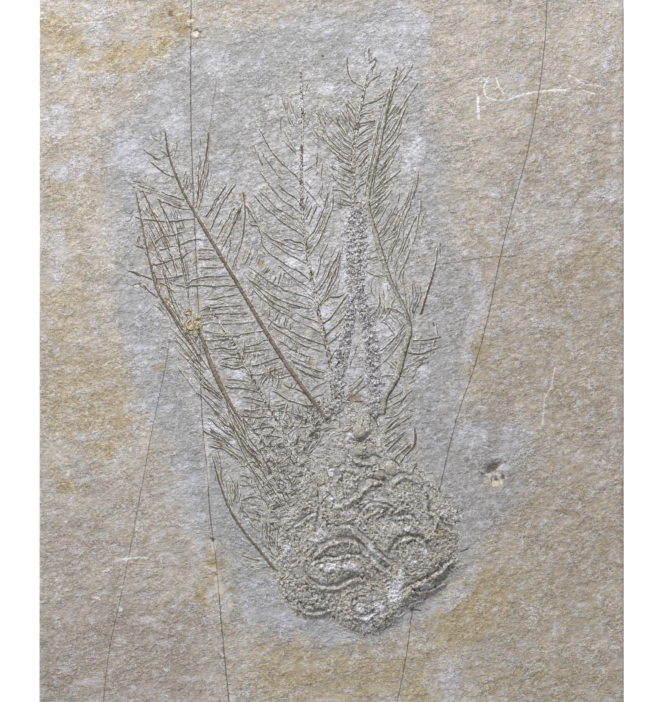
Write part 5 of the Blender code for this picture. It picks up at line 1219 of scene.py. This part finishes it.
points = np.empty(len(cup.data.vertices) * 3)
cup.data.vertices.foreach_get("co", points)
points = points.reshape(-1, 3)
x, y, z = points.T / MM
top = z > FACE - 0.5
relief, crease, grain = crown_relief(x, y)
relief += 2 * CRYSTAL * np.clip(relief, 0, 1) ** 0.3 * np.random.default_rng(9).normal(0, 1, len(x))
points[top, 2] = (FACE + bedding(x, y) + relief)[top] * MM
cup.data.vertices.foreach_set("co", points.ravel())
WHITE_CALCITE = (
    (16.3, -61.3, 1.8, 3.1, -10, 1.5), (17.8, -57.4, 0.6, 1.6, 0, 1.3), (20.6, -54.4, 1.3, 0.8, 40, 0.8),
    (24, -51.5, 0.8, 1.3, 30, 0.9), (19.4, -45.6, 1.5, 0.8, 0, 0.8), (21.9, -42.1, 0.8, 0.8, 0, 0.8),
    (11.2, -53.1, 0.8, 1.3, 30, 1), (9.9, -51, 1, 1.3, 0, 0.6), (4.7, -55.1, 2.3, 1, 0, 0.9),
    (-0.6, -55.4, 2.3, 1, 0, 0.9), (1.4, -58.5, 1, 0.3, 0, 1), (-1.9, -59, 1.8, 0.6, -25, 0.9),
    (-2.4, -46.7, 1.3, 0.8, -20, 0.9), (-4, -48.7, 1.5, 1, 0, 0.7), (0.4, -47.9, 1.5, 0.4, 0, 0.8),
    (-10.6, -54.1, 1.3, 0.5, -20, 0.6), (-11.4, -50.8, 1, 1.5, 0, 0.7), (-6.3, -65.6, 1.3, 0.6, -10, 0.9),
    (-1.9, -65.4, 1, 0.5, 20, 0.9), (9.4, -68.5, 1.8, 1.3, 0, 0.8), (7.3, -66.2, 1, 1.3, 0, 0.6),
    (12.2, -65.4, 1.5, 1.3, 0, 0.7), (13.2, -67.2, 0.5, 1.3, -20, 0.8), (9.1, -70.8, 2.1, 0.5, 0, 0.8),
    (24.5, -60.5, 1.8, 0.5, 22, 1.2), (0.4, -38.2, 1.3, 1.5, 0, 0.7), (-1.9, -35.6, 1.3, 1, 0, 0.6),
    (2.7, -37.4, 1, 0.5, 0, 0.8), (4.5, -41.5, 2.1, 0.5, 5, 0.8), (9.4, -38.7, 0.8, 0.5, 0, 1),
    (12.4, -38.2, 1.8, 0.6, -5, 0.9), (11.7, -36.4, 1.8, 0.5, 0, 0.7), (15.3, -29.5, 1.5, 0.8, -20, 0.9),
    (15.8, -31.3, 0.8, 1, 0, 0.7), (5.3, -22.1, 1.3, 1.3, 0, 0.6), (7.3, -25.4, 1.5, 0.8, 0, 0.6),
    (2.4, -25.9, 1.3, 0.8, 0, 0.6), (-0.1, -30.8, 1.3, 0.8, 0, 0.8), (-6, -32.1, 1.3, 0.8, 0, 0.4),
    (-8.8, -43.3, 1, 1.3, 0, 0.5), (10.4, -32.3, 0.8, 0.5, 0, 0.8), (4.7, -34.1, 1.5, 0.5, -15, 0.6),
    (-12.4, -35.4, 1, 1.8, 0, 0.6), (15.5, -59.5, 1, 1.3, 0, 0.5), (28.8, -40, 1, 0.8, -40, 0.4),
    (11.7, -22.3, 0.8, 0.8, 0, 0.6),
)
TAN_CALCITE = (
    (27.8, -46.7, 1.8, 1.5, 0, 1), (20.1, -31.5, 2.3, 0.5, 0, 0.9), (5.3, -37.2, 2.8, 0.8, 22, 0.9),
    (16, -57.4, 1.5, 0.8, -30, 0.9), (13.5, -60.5, 1.5, 1.3, 0, 0.7), (24, -62.3, 1.8, 1, 20, 0.8),
    (13.7, -68.7, 1.3, 1, 0, 0.7), (26.8, -52.6, 2.1, 1.5, 0, 0.6), (24.5, -37.7, 0.8, 2.6, 0, 0.7),
    (3.7, -58.2, 2.1, 1, -10, 0.5), (-2.2, -34.1, 1, 1, 0, 0.5), (5.3, -23.3, 1.8, 1, 0, 0.8),
    (4.7, -49.5, 3.1, 1.3, 10, 0.5), (21.9, -43.3, 1.3, 0.8, -40, 0.4), (3.2, -63.8, 1.3, 3.1, 0, 0.5),
    (10.4, -56.2, 0.8, 3.1, 50, 0.5), (-6.8, -52.6, 1, 1, 0, 0.6), (25.3, -57.4, 2.3, 1.3, 25, 0.6),
    (29.1, -49.7, 1.3, 1.3, 0, 0.5), (-13.7, -40.3, 1, 2.6, 30, 0.5),
)
# Dark calcite spots, and painted shade: dark lines in the hollows between the rolled arms and a painted shadow along
# the lump's lower right edge.
DARK_CALCITE_AND_SHADE = (
    (0.6, -32.6, 1.5, 0.5, 60, 0.7), (-4, -35.6, 0.5, 2.3, -10, 0.6), (11.7, -27.9, 1, 1.8, 40, 0.7),
    (4.7, -25.4, 1.3, 0.8, -20, 0.6), (1.7, -42.3, 1, 0.8, 0, 0.6), (-2.2, -42.3, 1, 0.8, 0, 0.5),
    (-3.5, -41.5, 1.5, 0.5, 30, 0.6), (-9.1, -44.6, 1, 0.5, 0, 0.6), (-11.9, -44.4, 0.8, 0.8, 0, 0.5),
    (-6.5, -54.4, 1.5, 0.8, 20, 0.8), (-8.1, -56.4, 2.1, 1, 20, 0.6), (13.7, -33.1, 2.1, 0.5, -25, 0.7),
    (17.6, -66.9, 3.6, 1, 28, 0.3), (28.8, -56.4, 2.6, 1.3, 25, 0.55), (25.8, -50.5, 1, 0.5, -20, 0.4),
    (25.3, -63.1, 2.1, 0.5, 20, 0.5), (4.7, -64.1, 0.5, 1.5, 0, 0.5), (8.8, -64.4, 3.1, 0.5, 5, 0.6),
    (-7.3, -64.9, 1.5, 1, -30, 0.5), (-1.7, -60, 2.6, 0.5, -15, 0.6), (14.5, -43.6, 3.1, 0.8, 0, 0.6),
    (13.7, -71, 3.1, 0.5, 20, 0.5), (5.3, -71, 0.5, 1, 0, 0.6), (25.3, -37.2, 0.8, 2.3, 0, 0.4),
)
shift_x = x + 0.6 * ripple(x, y, 1.8, 61)
shift_y = y + 0.6 * ripple(x, y, 1.8, 62)
# The dark layer is painted shade in the creases plus the dark patches; the crest layer is a painted highlight on the
# high grain.
for layer_name, amount in (("white", patches(shift_x, shift_y, WHITE_CALCITE)),
                           ("tan", patches(shift_x, shift_y, TAN_CALCITE)),
                           ("dark", np.maximum(crease, patches(shift_x, shift_y, DARK_CALCITE_AND_SHADE))),
                           ("crest", np.clip(0.2 + 1.1 * grain, 0, 1))):
    layer = cup.data.attributes.new(layer_name, "FLOAT", "POINT")
    layer.data.foreach_set("value", amount.astype(np.float32))
cup.data.shade_smooth()

# The lump is the same calcite, dusted with stone that the needle left. Painted shade darkens its
# creases and hollows, and a painted highlight whitens the crests of its grain.
matted = bpy.data.materials.new("matted_calcite")
matted.use_nodes = True
tree = matted.node_tree
shader = tree.nodes["Principled BSDF"]
in_mm = add(tree, "Mapping", {"Vector": add(tree, "TexCoord", out="Object"), "Scale": (1000, 1000, 1000)})
grains = add(tree, "TexNoise", {"Vector": in_mm, "Scale": 3.2, "Detail": 3.0, "Roughness": 0.9})
patchy = add(tree, "TexNoise", {"Vector": in_mm, "Scale": 0.3, "Detail": 3.0})
patchy = add(tree, "MapRange", {"Value": patchy, "From Min": 0.4, "From Max": 0.6})
layer = {name: add(tree, "Attribute", out="Fac", attribute_name=name) for name in ("crest", "white", "tan", "dark")}
crest = add(tree, "MapRange", {"Value": layer["crest"], "From Min": 0.4, "From Max": 0.8})
colour = layer_on(tree, linear("98938D"), linear("888176"), patchy)
stones = add(tree, "TexNoise", {"Vector": in_mm, "Scale": 0.7, "Detail": 4.0, "Roughness": 0.8}, out=1)
for i, tint, strength in ((0, "96805F", 0.6), (1, "CACAD2", 0.6), (2, "584F44", 0.6)):
    share = add(tree, "SeparateColor", {"Color": stones}, out=i)
    share = add(tree, "MapRange", {"Value": share, "From Min": 0.5, "From Max": 0.64})
    colour = layer_on(tree, colour, linear(tint), share, strength)
colour = layer_on(tree, colour, linear("A3875F"), ragged(tree, layer["tan"], grains, 1.6, 0.5), 0.8)
# Painted shade in the creases and hollows, a painted shadow along the lower right edge, and dark calcite spots.
colour = layer_on(tree, colour, linear("52432F"), ragged(tree, layer["dark"], grains, 1.4, 0.45), 0.8)
# Painted highlight on the crests of the grain.
colour = layer_on(tree, colour, linear("CFCDCA"), crest, 0.75)
colour = layer_on(tree, colour, linear("E2E2EC"), ragged(tree, layer["white"], grains, 2.0, 0.5), 0.9)
grit = add(tree, "MapRange", {"Value": grains, "From Min": 0.25, "From Max": 0.75,
                              "To Min": 0.1, "To Max": 1.9})
tree.links.new(add(tree, "VectorMath", {0: colour, "Scale": grit}, operation="SCALE"),
               shader.inputs["Base Color"])
height = add(tree, "Math", {0: grains, 1: 0.5}, operation="MULTIPLY")
tree.links.new(add(tree, "Bump", {"Height": height, "Strength": 1.0, "Distance": MM}),
               shader.inputs["Normal"])
shader.inputs["Roughness"].default_value = 0.7
shader.inputs["Specular IOR Level"].default_value = 0.3
cup.data.materials.append(matted)
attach(cup, "root")
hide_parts("cup", *[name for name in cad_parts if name.startswith("curled_arm")])


# The mat: pieces of pinnule 2 to 4 mm long, strewn over the lump and out over its left side.
# They fan out around the rolled arms, and elsewhere cross at all angles.
MAT_OUTLINE = ((-17, -22), (-4, -14), (4, -12), (13, -15), (14, -28), (24, -31), (32, -42), (32.5, -54), (24, -63),
               (12, -72), (-1, -69), (-12, -63), (-16, -52), (-18, -38))
MAT_PINNULES = (
    (0.13, -6, -21.5, -4.5, -20.8, -2.9, -20.3, -1.4, -19.7, 0.6, -19.2),
    (0.13, -9.1, -29.7, -7.6, -29, -6, -28.2, -4.5, -27.7, -2.9, -27.2),
    (0.13, -10.4, -25.1, -9.4, -23.6, -8.6, -22.6, -7.8, -21.3),
    (0.13, -8.8, -24.9, -7.3, -24.4, -5.8, -24.1, -4.2, -23.6, -2.7, -23.1),
    (0.1, -7.1, -24.4, -6.8, -22.3, -6.5, -20.5), (0.13, -7.6, -31.8, -6.5, -30.5, -5.3, -29.2),
    (0.13, -11.9, -34.1, -10.1, -34.4, -8.8, -33.8, -7.1, -33.3),
    (0.13, -10.9, -36.7, -9.4, -35.6, -8.1, -34.9, -6.5, -34.1),
    (0.17, -10.1, -36.9, -8.8, -37.9, -7.6, -39, -6, -40), (0.13, -10.6, -38.7, -9.4, -39.5, -7.8, -40.5),
    (0.17, -8.6, -43.8, -7.1, -42.6, -5.5, -41.5, -3.7, -41.3),
    (0.17, -3.2, -30.8, -1.4, -30.3, 0.1, -29.7, 1.7, -29.5, 3.2, -28.2),
    (0.17, -3.5, -32.8, -3.5, -35.6, -3.5, -38.2, -3.7, -40.3),
    (0.13, -1.4, -24.9, 0.4, -25.4, 2.4, -25.4), (0.13, -12.9, -38.2, -11.4, -38.5, -10.1, -37.7),
    (0.1, -5.8, -35.4, -4.7, -35.9, -3.7, -36.9), (0.1, -12.4, -30.5, -10.6, -31, -8.6, -31),
    (0.1, -10.6, -31.8, -9.1, -32.1, -7.3, -32.1), (0.13, -1.2, -7.7, -2.7, -8.5, -4, -9.2, -5.3, -10.3),
    (0.13, -0.9, -9.7, -2.2, -11, -3.5, -11.5, -5, -12.3), (0.1, -8.6, -27.7, -9.9, -26.7, -10.6, -25.4),
    (0.13, -8.8, -28.5, -9.9, -28.7, -10.9, -29),
    (0.13, -0.1, -10.8, 1.4, -11.8, 2.7, -12.3, 4, -11.8, 5.3, -10.5),
    (0.13, 1.4, -15.1, 2.7, -14.1, 4, -13.6, 5.3, -13.6),
    (0.13, 8.3, -5.9, 7.1, -6.9, 5.8, -8.2, 4.2, -9.2), (0.13, 8.3, -6.9, 7.3, -8.2, 6, -9.5, 4.7, -10.5),
    (0.1, 8.8, -9, 7.6, -9.7, 6.3, -10.8, 5, -11.8),
    (0.13, 6.8, 2.1, 6.3, 0.5, 5.8, -1.3, 5, -2.8, 4.7, -4.6), (0.1, -5, -15.1, -3.5, -15.6, -1.9, -15.4),
    (0.1, -0.4, -14.4, -2.4, -14.1, -4.5, -14.4), (0.13, -15.3, -30.5, -13.2, -31, -11.2, -31),
    (0.1, -14.5, -25.9, -12.4, -26.2, -10.1, -26.7), (0.1, -17.8, -36.2, -16.3, -36.7, -14.7, -37.9),
)
MAT_BITS = 800
BARE = 0.9  # share of the bits that the lump itself has lost
rng = np.random.default_rng(77)
curve = new_tubes("crushed_pinnule_mat", THREAD, PALE_THREAD_AND_HIGHLIGHT, ROPE_STEM)
bits = []
while len(bits) < MAT_BITS:
    at = np.array((rng.uniform(-18, 33), rng.uniform(-73, -12)))
    if inside(at[:1], at[1:], MAT_OUTLINE, 0.1)[0] < 0.5:
        continue
    if inside(at[:1], at[1:], CUP_OUTLINE, 0.1)[0] > 0.5 and rng.random() < BARE:
        continue
    near = min(COILS, key=lambda coil: math.hypot(at[0] - coil[0], at[1] - coil[1]) / coil[2])
    away = at - near[:2]
    heading = rng.uniform(0, 180)
    if np.hypot(*away) < 1.6 * near[2]:
        heading = math.degrees(math.atan2(away[1], away[0])) + rng.normal(0, 18) + 90 * rng.integers(0, 2)
    elif at[0] < 0:
        heading = rng.choice((35, 120)) + rng.normal(0, 15)
    steps = rng.integers(4, 9)
    turn = np.radians(heading + np.cumsum(rng.normal(0, 9, steps)))
    bits.append(at + np.cumsum(np.column_stack([np.cos(turn), np.sin(turn)]) * 0.45, axis=0))
ends = np.cumsum([0] + [len(bit) for bit in bits])
every = np.vstack(bits)
on_lump = np.maximum(crown_relief(*every.T)[0], 0)
for bit, start, end in zip(bits, ends, ends[1:]):
    radius = rng.uniform(0.07, 0.14) * np.interp(np.linspace(0, 1, len(bit)), (0, 0.3, 0.8, 1), (0.5, 1, 1, 0.4))
    lay_spline(curve, bit, radius, on_lump[start:end] + rng.uniform(0.02, 0.13), rng.choice((0, 0, 1, 1, 2)))
for row in MAT_PINNULES:
    lay_pinnule(curve, row, 0, rng)
mat = settle("crushed_pinnule_mat", curve, 0.08)
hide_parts("cup")


# ---------------------------------------------------------------------------------------------
# The nodules. Round beads of calcite grew on the arms' bases, and a crust of iron, cream outside
# and brown where it is broken, sits on the crack that crosses the left arms.
# ---------------------------------------------------------------------------------------------


def nodules(name, beads, lumpy):
    """Lumpy domes (x, y, radius, rise) in mm on the fossil, in one piece."""
    lumps = []
    for bead_x, bead_y, radius, rise in beads:
        here = np.array([[bead_x], [bead_y]])
        ground = FACE + bedding(*here)[0] + max(0, crown_relief(*here)[0][0])
        bpy.ops.object.select_all(action="DESELECT")
        bpy.ops.mesh.primitive_ico_sphere_add(subdivisions=5, radius=MM)
        lump = bpy.context.object
        lump.scale = (radius, radius * 0.92, rise)
        lump.location = (bead_x * MM, bead_y * MM, ground * MM)
        bpy.ops.object.transform_apply(location=True, rotation=False, scale=True)
        for vertex in lump.data.vertices:
            at = vertex.co / MM
            swell = lumpy * (radius * noise.noise(at / radius * 1.4) + 0.5 * noise.noise(at * 2.6))
            vertex.co += (vertex.co - lump_middle(bead_x, bead_y, ground)).normalized() * swell * MM
        lump.data.shade_smooth()
        lumps.append(lump)
    for lump in lumps:
        lump.select_set(True)
    bpy.context.view_layer.objects.active = lumps[0]
    if len(lumps) > 1:
        bpy.ops.object.join()
    piece = bpy.context.object
    piece.name = piece.data.name = name
    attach(piece, "root")
    return piece


def lump_middle(x, y, height):
    """A point given in mm, as a vector in metres."""
    return Vector((x, y, height)) * MM


beads = nodules("calcite_nodules", ((7.05, 37.2, 0.8, 0.35), (12.4, -31.8, 1.3, 0.5), (7.05, -20.8, 1.6, 0.5),
                                    (15.3, -30.5, 1.6, 0.3), (9.1, -13.6, 0.5, 0.3), (8.85, 36.7, 0.5, 0.25),
                                    (7.2, -25.6, 1.4, 0.35), (27.2, -39.6, 0.9, 0.3)), 0.2)
beads.data.materials.append(calcite("rounded_calcite", "8F8B85", "7A746B", "BDBBB8", 0.4, 0.65, 2.4))
crust = nodules("iron_crust", ((-35.9, 6.9, 1.9, 0.6), (-34.2, 6.6, 1.3, 0.5), (-35.2, 4.7, 1.2, 0.4),
                               (-36.9, 10, 1.0, 0.4), (-34.4, 8.8, 0.9, 0.3), (-37.3, 5.2, 0.8, 0.3)), 0.5)
crust.data.materials.append(calcite("iron_crust", "928463", "665335", "C6BFAE", 0.55, 0.75, 1.9, 0.4))
# ---------------------------------------------------------------------------------------------
# The table, the lights and the camera, which looks straight down on the slab.
# ---------------------------------------------------------------------------------------------

bpy.ops.object.select_all(action="DESELECT")
bpy.ops.mesh.primitive_plane_add(size=4)
table = bpy.context.object
table.name = table.data.name = "pale_table"
white_card = bpy.data.materials.new("white_card")
white_card.use_nodes = True
tree = white_card.node_tree
shader = tree.nodes["Principled BSDF"]
in_mm = add(tree, "Mapping", {"Vector": add(tree, "TexCoord", out="Object"), "Scale": (1000, 1000, 1000)})
fibres = add(tree, "TexNoise", {"Vector": in_mm, "Scale": 0.8, "Detail": 4.0})
tree.links.new(layer_on(tree, linear("F7F7F7"), linear("FCFCFC"), fibres), shader.inputs["Base Color"])
shader.inputs["Roughness"].default_value = 0.8
shader.inputs["Emission Color"].default_value = linear("FFFFFF")
shader.inputs["Emission Strength"].default_value = 0.7
table.data.materials.append(white_card)

PHOTO = (665, 702)
MM_PER_PIXEL = 150 / 585
CAMERA_HEIGHT = 1.3
view = bpy.data.cameras.new("camera")
camera = bpy.data.objects.new("camera", view)
bpy.context.scene.collection.objects.link(camera)
camera.location = (0.000256, 0, CAMERA_HEIGHT)
view.sensor_fit = "HORIZONTAL"
view.lens = view.sensor_width * (CAMERA_HEIGHT - FACE * MM) / (PHOTO[0] * MM_PER_PIXEL * MM)
view.clip_end = 20
bpy.context.scene.camera = camera


def softbox(name, place, aim, size, watts, tint):
    """A square studio light, turned to where it aims."""
    lamp = bpy.data.lights.new(name, "AREA")
    lamp.shape, lamp.size, lamp.energy, lamp.color = "SQUARE", size, watts, linear(tint)[:3]
    light = bpy.data.objects.new(name, lamp)
    light.location = place
    light.rotation_euler = (Vector(aim) - Vector(place)).to_track_quat("-Z", "Y").to_euler()
    bpy.context.scene.collection.objects.link(light)


softbox("key_light", (-0.20, 0.56, 0.44), (0, 0, 0), 0.3, 9.4, "FFFDF8")
sky = bpy.data.worlds.new("soft_room")
bpy.context.scene.world = sky
sky.use_nodes = True
sky.node_tree.nodes["Background"].inputs["Color"].default_value = linear("F4F6FA")
sky.node_tree.nodes["Background"].inputs["Strength"].default_value = 0.6
bpy.context.scene.view_settings.view_transform = "Standard"
